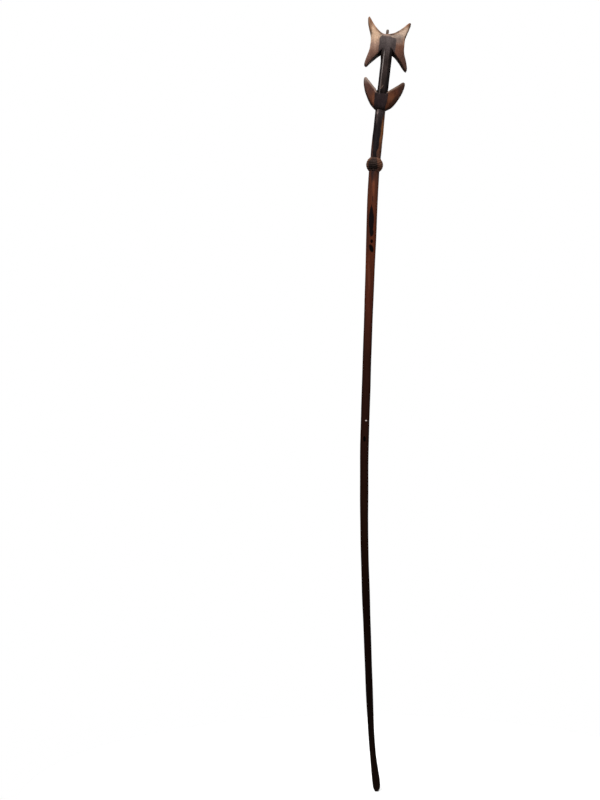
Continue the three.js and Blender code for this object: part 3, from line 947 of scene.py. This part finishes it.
def makeBand(name, values):
    # A band that runs up the staff, as a mask: inside an oval whose left and right ends follow two curves
    # over the height. The oval's depth says how far round the staff the band goes.
    tree, given, result = startGroup(name, ["Vector"], ["Ragged", "Soft"], ["Mask"])
    x, y, z = axesOf(tree, given["Vector"])
    low, high, reach = values["edges"][0][0], values["edges"][-1][0], band["reach"]
    share = shareOf(tree, z, low, high)
    ends = []
    for column in (1, 2):
        points = [((row[0] - low) / (high - low), row[column] / reach + 0.5) for row in values["edges"]]
        curve = curveThrough(tree, share, points)
        ends.append(times(tree, calc(tree, "SUBTRACT", curve, 0.5), reach))
    middle = times(tree, calc(tree, "ADD", *ends), 0.5)
    half = times(tree, calc(tree, "SUBTRACT", ends[1], ends[0]), 0.5)
    half = calc(tree, "MAXIMUM", half, band["leastHalf"])
    sideways = calc(tree, "DIVIDE", calc(tree, "SUBTRACT", x, middle), half)
    deep = calc(tree, "DIVIDE", calc(tree, "ADD", y, values["forward"]), values["depth"])
    squares = calc(tree, "ADD", calc(tree, "POWER", sideways, 2.0), calc(tree, "POWER", deep, 2.0))
    drawn = vectorOf(tree, x, y, times(tree, z, band["drawn"]))
    outness = calc(tree, "SQRT", squares)
    feed(tree, raggedMask(tree, given, outness, drawn, band["fineness"]), result["Mask"])
    return tree


def makeSpot(fineness):
    # A soft oval patch, as a mask: full inside, gone outside. Its outness is the length of the way from its
    # middle, leant sideways by the rise and divided by its reach.
    vectors, numbers = ["Vector", "Middle", "Reach"], ["Lean", "Soft", "Ragged"]
    tree, given, result = startGroup("softSpot", vectors, numbers, ["Mask"])
    ways = {0: given["Vector"], 1: given["Middle"]}
    away = addNode(tree, "VectorMath", ways, operation="SUBTRACT").outputs[0]
    x, y, z = axesOf(tree, away)
    leant = calc(tree, "ADD", x, times(tree, z, given["Lean"]))
    upright = vectorOf(tree, leant, y, z)
    scaled = addNode(tree, "VectorMath", {0: upright, 1: given["Reach"]}, operation="DIVIDE").outputs[0]
    outness = addNode(tree, "VectorMath", {0: scaled}, operation="LENGTH").outputs["Value"]
    feed(tree, raggedMask(tree, given, outness, given["Vector"], fineness), result["Mask"])
    return tree


# What both bands share
band = {
    "reach": 0.1,  # the width that the curves of their ends cover
    "leastHalf": 0.00003,
    "drawn": 0.25,  # how far the noise on their edges is drawn out along the staff
    "fineness": 420.0,
}

# The heart of the log: height, left end and right end of the dark band, in metres
heartFigure = {
    "depth": 0.032,  # how deep the oval is, and how far forward of the staff's middle
    "forward": 0.006,
    "edges": [
        (0.94, -0.0078, -0.0076), (0.948, -0.0088, -0.0067), (0.955, -0.0091, -0.006),
        (0.961, -0.0092, -0.003), (0.9635, -0.0132, 0.0004), (0.975, -0.0134, -0.0002),
        (0.98, -0.0085, -0.0008), (0.985, -0.0065, -0.001), (0.9895, -0.0064, -0.0009),
        (0.9955, -0.0064, 0.0021), (1.008, -0.0068, 0.0036), (1.014, -0.0085, 0.0052),
        (1.0203, -0.016, 0.006), (1.0326, -0.02, 0.0075), (1.042, -0.018, 0.0089), (1.052, -0.0095, 0.0117),
        (1.059, -0.0052, 0.0128), (1.066, -0.0052, 0.015), (1.072, -0.0045, 0.0161),
        (1.079, -0.0038, 0.017), (1.082, -0.002, 0.0165), (1.086, 0.001, 0.0155), (1.1, 0.001, 0.0155),
        (1.12, -0.001, 0.023), (1.135, 0.0002, 0.0262), (1.142, 0.0012, 0.0272), (1.151, 0.0018, 0.0287),
        (1.1575, 0.0031, 0.0294), (1.1625, 0.0029, 0.0298), (1.1645, 0.0035, 0.0262),
        (1.1662, 0.0046, 0.0222), (1.1671, 0.0056, 0.0214), (1.168, 0.0066, 0.0102),
        (1.1692, 0.0074, 0.0086), (1.1702, 0.0136, 0.0138), (1.18, 0.0136, 0.0138),
    ],
}

# A dark leaf-shaped blemish in the front of the shaft
leafBlemish = {
    "depth": 0.006,
    "forward": 0.007,
    "edges": [
        (0.856, -0.0098, -0.0096), (0.8586, -0.0104, -0.0092), (0.8605, -0.0108, -0.0066),
        (0.8635, -0.0116, -0.0055), (0.8665, -0.0119, -0.0055), (0.8695, -0.0118, -0.0062),
        (0.8755, -0.0125, -0.0057), (0.8838, -0.0126, -0.0049), (0.89, -0.0125, -0.005),
        (0.8962, -0.0117, -0.0057), (0.9025, -0.0107, -0.0069), (0.9055, -0.0096, -0.008),
        (0.9085, -0.0089, -0.0086), (0.9125, -0.0087, -0.0086), (0.93, -0.0086, -0.0086),
    ],
}
spotFineness = 500.0

grainGroup = makeGrain(grainLayers)
heartGroup = makeBand("heartFigure", heartFigure)
leafGroup = makeBand("leafBlemish", leafBlemish)
spotGroup = makeSpot(spotFineness)


def laySpots(tree, where, colour, spots, edge):
    # Each spot in turn, over the colour: middle, reach, lean, tone and strength
    soft, ragged = edge
    for middle, reach, lean, rgb, strength in spots:
        mask = placeGroup(tree, spotGroup, {
            "Vector": where, "Middle": middle, "Reach": reach, "Lean": lean, "Soft": soft, "Ragged": ragged,
        })[0]
        colour = mixColour(tree, times(tree, mask, strength), colour, tone(*rgb))
    return colour


def toneByHeight(tree, height, stops):
    # The tone at a height, in straight lines between the stops
    low, high = stops[0][0], stops[-1][0]
    shares = [((stop - low) / (high - low), tone(*rgb)) for stop, *rgb in stops]
    return ramp(tree, shareOf(tree, height, low, high), shares)


def carvedWood(name, look):
    # Sapwood and heartwood tones by height, patches, the dark figure, the leaf and marks. The grain's
    # layers multiply them, and edge marks lie over all, broken up by the blotches.
    material, tree, shader = startMaterial(name)
    where = addNode(tree, "TexCoord", {}).outputs["Object"]
    z = axesOf(tree, where)[2]
    grain = placeGroup(tree, grainGroup, {"Vector": where, "Fineness": look["fineness"]})
    wave = times(tree, calc(tree, "SUBTRACT", grain["Blotch"], 0.5), look["waver"])
    height = calc(tree, "ADD", z, wave)
    colour = toneByHeight(tree, height, look["sapwood"])
    colour = laySpots(tree, where, colour, look["patches"], look["patchEdge"])
    bands = [(heartGroup, look["figureEdge"], toneByHeight(tree, height, look["heartwood"]))]
    if "leafTone" in look:
        bands.append((leafGroup, look["leafEdge"], tone(*look["leafTone"])))
    for group, (soft, ragged), bandTone in bands:
        mask = placeGroup(tree, group, {"Vector": where, "Soft": soft, "Ragged": ragged})[0]
        colour = mixColour(tree, mask, colour, bandTone)
    colour = laySpots(tree, where, colour, look["marks"], look["markEdge"])
    depth, mottle = look["grainDepth"], look["mottle"]
    shade = 1.0
    for label, least, most in (
        ("Streak", 1 - depth, 1 + depth), ("Blotch", 1 - depth, 1 + depth),
        ("Mottle", 1 - mottle, 1 + mottle), ("Flecks", 1.0, 1 + look["flecks"]),
    ):
        shade = times(tree, shade, remap(tree, grain[label], 0.0, 1.0, least, most))
    shades = addNode(tree, "CombineColor", {0: shade, 1: shade, 2: shade}).outputs[0]
    colour = mixColour(tree, 1.0, colour, shades, "MULTIPLY")
    # Many of the edge marks paint light and shade; each look says which
    wholeFrom, least = look["edgeGaps"]
    for label, rgb, amount, gone, full in look["edges"]:
        near = addNode(tree, "Attribute", {}, attribute_name=label).outputs["Fac"]
        broken = times(tree, near, remap(tree, grain["Blotch"], 0.0, wholeFrom, least, 1.0))
        here = times(tree, broken, remap(tree, z, gone, full, 0.0, amount))
        colour = mixColour(tree, here, colour, tone(*rgb))
    smoother, rougher = (look["roughness"] + step for step in look["roughnessSteps"])
    feed(tree, colour, shader["Base Color"])
    feed(tree, remap(tree, grain["Streak"], 0.0, 1.0, smoother, rougher), shader["Roughness"])
    feed(tree, look["gloss"], shader["Specular IOR Level"])
    relief = times(tree, calc(tree, "ADD", grain["Streak"], grain["Pores"]), 0.5)
    feed(tree, bumpFrom(tree, relief, look["bump"]), shader["Normal"])
    return material


throughReach = 0.05  # deeper than any of the wood


def through(x, z, acrossReach, upReach, rgb, strength, lean=0.0):
    # A spot that goes right through the wood, from front to back
    return (x, 0, z), (acrossReach, throughReach, upReach), lean, rgb, strength


# What the woods share, where a wood doesn't say otherwise. An edge is how soft and how ragged it is.
plainWood = {
    "fineness": 750.0,
    "waver": 0.006,  # how far the tones wander up and down, in metres
    "grainDepth": 0.14,
    "mottle": 0.12,
    "flecks": 0.4,
    "roughness": 0.5,
    "roughnessSteps": (-0.06, 0.08),  # how far the streaks take it down and up
    "gloss": 0.05,
    "bump": 0.35,
    "patches": [],
    "marks": [],
    "edges": [],
    "patchEdge": (0.6, 0.5),
    "markEdge": (0.15, 0.4),
    "leafEdge": (0.12, 0.35),
    "edgeGaps": (0.8, 0.65),  # the blotch from which an edge mark is whole, and its share where there is none
}

# Sapwood and heartwood: height, red, green and blue. Patches lie in the sapwood and marks over everything:
# middle, reach, lean, tone, strength. Edges: mark, tone, strength, the heights where it is gone and full.
crownLook = {
    **plainWood,
    "figureEdge": (0.05, 0.07),
    "grainDepth": 0.06,
    "mottle": 0.13,
    # Paler towards the upper lobes: partly the wood's own tone and partly painted sheen from the light above
    "sapwood": [
        (1.115, 57, 39, 34), (1.133, 87, 62, 53), (1.144, 114, 84, 71), (1.156, 152, 122, 106),
        (1.166, 196, 163, 136), (1.1745, 192, 159, 132), (1.179, 187, 155, 129), (1.185, 156, 124, 100),
        (1.196, 126, 96, 76),
    ],
    # Greyer towards the top: grey dust and painted sheen on the black heartwood
    "heartwood": [
        (1.13, 50, 40, 38), (1.141, 66, 55, 53), (1.15, 68, 59, 58), (1.16, 82, 73, 71), (1.17, 88, 78, 76),
    ],
    "patches": [
        through(0.039, 1.144, 0.015, 0.019, (100, 66, 52), 0.92),
        through(0.04, 1.131, 0.012, 0.01, (84, 56, 46), 0.8),
        through(0.046, 1.125, 0.013, 0.018, (74, 53, 45), 0.85),
        through(0.038, 1.1595, 0.01, 0.0052, (136, 108, 94), 0.75),
        # The next patch's pale grey on the upper right lobe is partly the wood's tone and partly a painted
        # sheen
        through(0.0388, 1.1743, 0.012, 0.008, (180, 156, 138), 0.85),
        through(0.0311, 1.1666, 0.009, 0.0035, (140, 126, 118), 0.8),
        through(0.0315, 1.161, 0.007, 0.0045, (112, 96, 88), 0.85),
        through(0.0155, 1.1694, 0.011, 0.0032, (128, 121, 117), 0.95),
        through(0.052, 1.188, 0.008, 0.008, (86, 61, 47), 0.95),
        through(-0.0125, 1.194, 0.007, 0.0085, (74, 55, 42), 0.9),
        through(0.0425, 1.1555, 0.0022, 0.005, (176, 124, 88), 0.6),
    ],
    "marks": [
        through(0.0045, 1.1732, 0.0017, 0.0018, (60, 42, 36), 0.7, 1.45),
        through(0.0232, 1.1699, 0.0035, 0.0011, (60, 44, 38), 0.75),
    ],
    "edges": [
        ("topEdge", (150, 100, 72), 0.6, 1.0, 1.1), ("saddleLeft", (38, 27, 23), 0.95, 1.184, 1.176),
        ("saddleRight", (38, 27, 23), 0.95, 1.184, 1.176), ("leftEdge", (56, 34, 26), 0.7, 1.1675, 1.173),
        ("leftEdge", (150, 112, 86), 0.8, 1.1755, 1.179), ("leftEdge", (130, 100, 86), 0.5, 1.142, 1.134),
        ("rightEdge", (56, 34, 26), 0.7, 1.158, 1.166), ("rightEdge", (150, 112, 86), 0.8, 1.187, 1.191),
        # leftUnder and rightUnder paint near-black shade under the notches
        ("leftUnder", (8, 6, 5), 0.95, 1.124, 1.136), ("rightUnder", (8, 6, 5), 0.95, 1.114, 1.13),
    ],
}
crescentLook = {
    **plainWood,
    "figureEdge": (0.04, 0.06),
    "grainDepth": 0.12,
    "roughness": 0.45,
    "sapwood": [
        (1.055, 66, 36, 22), (1.07, 68, 38, 24), (1.085, 66, 35, 24), (1.095, 63, 37, 28),
        (1.105, 60, 38, 29),
    ],
    # The drop in the lowest heartwood stops is a painted shadow along the bottom edge
    "heartwood": [
        (1.056, 28, 22, 21), (1.0605, 27, 20, 20), (1.064, 36, 27, 28), (1.075, 36, 27, 28),
        (1.09, 34, 25, 25),
    ],
    "patches": [
        through(-0.013, 1.087, 0.011, 0.018, (73, 46, 38), 0.9),
        through(-0.008, 1.069, 0.007, 0.009, (79, 46, 31), 0.8),
        through(-0.018, 1.1055, 0.009, 0.0076, (105, 90, 83), 0.9),
        through(-0.0058, 1.073, 0.0018, 0.009, (100, 62, 44), 0.7),
        through(0.0212, 1.0728, 0.0055, 0.008, (98, 58, 38), 0.85),
        through(0.04, 1.085, 0.0075, 0.013, (48, 31, 25), 0.8),
        through(0.0273, 1.069, 0.0036, 0.0095, (38, 24, 19), 0.8, -0.82),
    ],
    "edges": [
        # The pale leftTop and rightTop tones are painted highlights on the upper edges. The leftRim darks
        # paint shade where the edge falls back beside the neck, and the underside paints shade on the keel.
        ("leftTop", (148, 126, 114), 0.85, 1.0795, 1.0825),
        ("rightTop", (130, 106, 90), 0.75, 1.0788, 1.082), ("rightTop", (60, 40, 31), 0.75, 1.0885, 1.0925),
        ("leftRim", (58, 44, 38), 0.6, 1.098, 1.092), ("leftRim", (40, 30, 26), 1.0, 1.0905, 1.0865),
        ("underside", (50, 35, 29), 0.7, 1.0, 1.05),
    ],
}
neckTones = [
    (1.078, 24, 18, 17), (1.084, 25, 19, 18), (1.093, 29, 22, 21), (1.102, 35, 28, 26), (1.111, 44, 35, 33),
    (1.121, 51, 41, 39), (1.13, 43, 35, 33), (1.139, 62, 53, 51), (1.15, 70, 61, 60),
]
neckLook = {
    **plainWood,
    "waver": 0.004,
    "figureEdge": (0.05, 0.05),
    "mottle": 0.18,
    "flecks": 0.5,
    "roughness": 0.42,
    "bump": 0.3,
    "sapwood": neckTones,
    "heartwood": neckTones,
    "marks": [
        ((0.0062, -0.0095, 1.0955), (0.0018, 0.005, 0.0085), 0.1, (60, 47, 41), 0.6),
        ((0.007, -0.0095, 1.0893), (0.0006, 0.004, 0.0032), -0.85, (108, 90, 78), 0.7),
    ],
    "edges": [
        # leftSide and rightSide paint shade over the front beside the bevels. The arris tones are a painted
        # highlight over the worn arris, brighter towards the crown.
        ("leftSide", (28, 22, 21), 0.85, 1.0, 1.05), ("rightSide", (13, 9, 9), 0.9, 1.0, 1.05),
        ("arris", (112, 102, 98), 0.9, 1.0, 1.05), ("arris", (164, 154, 150), 0.9, 1.1, 1.13),
    ],
}
upperShaftLook = {
    **plainWood,
    "waver": 0.003,
    "figureEdge": (0.12, 0.25),
    "mottle": 0.2,
    "roughness": 0.42,
    "bump": 0.3,
    "sapwood": [
        (0.98, 72, 50, 42), (1.0, 88, 54, 36), (1.03, 133, 85, 50), (1.045, 88, 54, 36),
        (1.055, 60, 38, 28),
    ],
    # The drop to the last heartwood stop is a painted shadow where the shaft runs in under the crescent
    "heartwood": [
        (0.98, 20, 14, 13), (0.99, 26, 21, 22), (1.01, 22, 17, 19), (1.022, 23, 17, 18),
        (1.035, 29, 21, 22), (1.045, 40, 32, 32), (1.051, 46, 38, 38), (1.0555, 47, 38, 37),
        (1.059, 20, 16, 15),
    ],
    "patches": [through(-0.0085, 0.994, 0.003, 0.02, (56, 38, 33), 0.85)],
    # Both marks are painted highlights on the front below the crescent: a long faint streak and a brighter
    # glint
    "marks": [
        ((0.0001, -0.0075, 1.043), (0.0013, 0.006, 0.011), -0.1, (66, 54, 52), 0.6),
        ((0.0008, -0.0075, 1.0522), (0.0013, 0.006, 0.0048), -0.1, (118, 103, 99), 0.85),
    ],
}
knobLook = {
    **plainWood,
    "fineness": 900.0,
    "waver": 0.002,
    "figureEdge": (0.12, 0.25),
    "grainDepth": 0.16,
    "flecks": 0.2,
    "roughness": 0.6,
    "bump": 0.5,
    # Both tone ramps paint the light on the ball: brightest on its upper part and darkest in a band low down,
    # where it turns into shade.
    "sapwood": [
        (0.958, 96, 64, 52), (0.9615, 96, 63, 51), (0.965, 76, 50, 40), (0.9705, 94, 62, 48),
        (0.978, 118, 81, 62), (0.983, 84, 62, 52),
    ],
    "heartwood": [
        (0.958, 60, 47, 42), (0.9615, 62, 48, 43), (0.9635, 42, 32, 29), (0.966, 22, 16, 14),
        (0.97, 46, 36, 32), (0.976, 56, 43, 38), (0.983, 82, 60, 50),
    ],
    "patches": [((0.0095, -0.004, 0.9715), (0.007, 0.02, 0.009), 0.0, (132, 91, 70), 0.82)],
    # The groove mark paints shade into the grooves between the ridges
    "edges": [("groove", (20, 14, 12), 0.8, 0.5, 0.6)],
}
shaftLook = {
    **plainWood,
    "fineness": 800.0,
    "waver": 0.02,
    "figureEdge": (0.25, 0.3),
    "grainDepth": 0.1,
    "mottle": 0.06,
    "flecks": 0.25,
    "gloss": 0.01,
    "bump": 0.25,
    "sapwood": [
        (0.0, 15, 7, 4), (0.14, 12, 5, 3), (0.296, 17, 7, 4), (0.451, 30, 15, 9), (0.529, 33, 16, 12),
        (0.606, 39, 19, 14), (0.684, 43, 22, 16), (0.761, 71, 33, 23), (0.823, 84, 41, 25),
        (0.9, 84, 43, 28), (0.932, 82, 45, 31), (0.95, 80, 46, 34), (0.962, 70, 44, 36),
    ],
    "heartwood": [(0.94, 50, 30, 25), (0.96, 46, 32, 30)],
    "patches": [
        through(-0.0055, 0.938, 0.0016, 0.016, (116, 64, 42), 0.6),
        through(-0.0142, 0.868, 0.0035, 0.03, (62, 34, 26), 0.7),
        through(-0.006, 0.952, 0.003, 0.007, (56, 36, 31), 0.7),
        through(-0.0126, 0.8, 0.0014, 0.022, (104, 57, 41), 0.55),
    ],
    "leafTone": (19, 14, 15),
    "marks": [
        ((-0.0071, -0.008, 0.9163), (0.0011, 0.006, 0.0052), 0.0, (48, 28, 24), 0.7),
        ((-0.0084, -0.008, 0.8516), (0.0021, 0.006, 0.0031), 0.0, (14, 5, 5), 1.0),
        ((-0.0091, -0.008, 0.8405), (0.0034, 0.006, 0.0062), 0.22, (13, 8, 7), 1.0),
        # The near-black on the nail hole paints the shade inside it
        ((-0.0196, -0.006, 0.5461), (0.002, 0.004, 0.0044), 0.0, (2, 1, 1), 1.0),
    ],
}

for piece, look in (
    (crownPiece, crownLook), (crescentPiece, crescentLook), (neckPiece, neckLook),
    (upperShaftPiece, upperShaftLook), (knobPiece, knobLook), (shaftPiece, shaftLook),
):
    piece.data.materials.append(carvedWood(piece.name + "_wood", look))


def wornMetal(name, values):
    # Dull and bright tones mixed by noise, rougher where it is dull
    material, tree, shader = startMaterial(name)
    where = addNode(tree, "TexCoord", {}).outputs["Object"]
    noise = noiseAt(tree, where, values["fineness"], values["detail"])
    dull = remap(tree, noise, *values["dullRange"])
    feed(tree, mixColour(tree, dull, tone(*values["bright"]), tone(*values["dull"])), shader["Base Color"])
    feed(tree, remap(tree, dull, 0.0, 1.0, *values["roughness"]), shader["Roughness"])
    feed(tree, bumpFrom(tree, noise, values["bump"]), shader["Normal"])
    feed(tree, values["metal"], shader["Metallic"])
    return material


pinMetal = {
    "fineness": 1400.0,
    "detail": 4.0,
    "dullRange": (0.35, 0.65),  # the noise where the metal is still bright, and where it is all dull
    "bright": (124, 110, 98),
    "dull": (68, 58, 50),
    "roughness": (0.45, 0.75),
    "bump": 0.5,
    "metal": 0.6,
}
# The near-white tones of the brad head are a painted glint
bradMetal = {
    **pinMetal,
    "fineness": 1500.0,
    "bright": (222, 206, 200),
    "dull": (186, 170, 164),
    "roughness": (0.3, 0.5),
    "metal": 0.15,
}
pinPiece.data.materials.append(wornMetal("worn_iron", pinMetal))
bradPiece.data.materials.append(wornMetal("brad_painted_glint", bradMetal))
print("materials made")

# Room: a pale floor, a white surround, soft lights and the camera

room = {
    "floorReach": 0.55,
    "floorSides": 96,
    "floorTone": (246, 246, 246),
    "floorRoughness": 0.9,
    "floorGlow": 0.25,
    "skyBelow": (-0.3, 0.05),  # up to how high a direction the sky is dim, and how strong it is there
    "skyAbove": (0.7, 0.32),  # from how high it is bright, and how strong
    "cameraDistance": 2.3,
    "halfView": 0.62,  # half of the height that the camera sees at the staff
    "cameraSide": -0.1192,  # the side and the height that the photograph's middle shows
    "cameraRise": 0.6062,
}

# Place, what it points at, size and power
softboxes = {
    "key": ((-1.2, -1.8, 2.7), (0, 0, 0.75), (1.2, 1.6), 76),
    "top": ((0.1, -0.35, 2.5), (0, 0, 1.0), (1.0, 1.0), 14),
    "fill": ((1.7, -1.7, 1.6), (0, 0, 0.7), (1.2, 1.6), 16),
    "behind": ((0.6, 2.2, 1.9), (0, 0, 0.7), (1.4, 1.4), 26),
}
white = (1, 1, 1, 1)


def makeFloor(values):
    # A flat disc that the foot stands on
    angle = anglesRound(values["floorSides"])
    points = np.column_stack([np.cos(angle), np.sin(angle), np.zeros(len(angle))]) * values["floorReach"]
    mesh = bpy.data.meshes.new("floor")
    mesh.from_pydata(points.tolist(), [], [list(range(len(angle)))])
    material, tree, shader = startMaterial("pale_floor")
    feed(tree, tone(*values["floorTone"]), shader["Base Color"])
    feed(tree, values["floorRoughness"], shader["Roughness"])
    feed(tree, white, shader["Emission Color"])
    feed(tree, values["floorGlow"], shader["Emission Strength"])
    mesh.materials.append(material)
    floor = addObject("floor", mesh)


def makeWorld(values):
    # White where the camera looks past the object, and a soft sky that lights it, dim from below
    world = bpy.data.worlds.new("studio")
    bpy.context.scene.world = world
    world.use_nodes = True
    tree = world.node_tree
    tree.nodes.clear()
    direction = addNode(tree, "TexCoord", {}).outputs["Generated"]
    height = axesOf(tree, direction)[2]
    (low, dim), (high, bright) = values["skyBelow"], values["skyAbove"]
    strength = remap(tree, height, low, high, dim, bright)
    sky = addNode(tree, "Background", {"Color": white, "Strength": strength}).outputs[0]
    plain = addNode(tree, "Background", {"Color": white, "Strength": 1.0}).outputs[0]
    seen = addNode(tree, "LightPath", {}).outputs["Is Camera Ray"]
    mixed = addNode(tree, "MixShader", {0: seen, 1: sky, 2: plain}).outputs[0]
    addNode(tree, "OutputWorld", {"Surface": mixed})


def makeSoftbox(name, place, target, size, power):
    # An oblong light turned from straight down until it points at its target
    light = bpy.data.lights.new(name, "AREA")
    light.shape = "RECTANGLE"
    light.size, light.size_y = size
    light.energy = power
    box = addObject(name, light)
    box.location = place
    aim = np.array(target) - place
    tilt = math.acos(-aim[2] / np.linalg.norm(aim))
    box.rotation_euler = (tilt, 0, math.atan2(aim[1], aim[0]) - math.pi / 2)
    box.visible_camera = False


def makeCamera(values):
    # Level, its angle twice that whose tangent is half the view over the distance
    camera = bpy.data.cameras.new("camera")
    camera.sensor_fit = "VERTICAL"
    camera.angle = 2 * math.atan(values["halfView"] / values["cameraDistance"])
    holder = addObject("camera", camera)
    holder.location = (values["cameraSide"], -values["cameraDistance"], values["cameraRise"])
    holder.rotation_euler = (math.pi / 2, 0, 0)
    bpy.context.scene.camera = holder


makeFloor(room)
makeWorld(room)
for name, softbox in softboxes.items():
    makeSoftbox(name, *softbox)
makeCamera(room)
bpy.context.scene.view_settings.view_transform = "Standard"
print("room made")
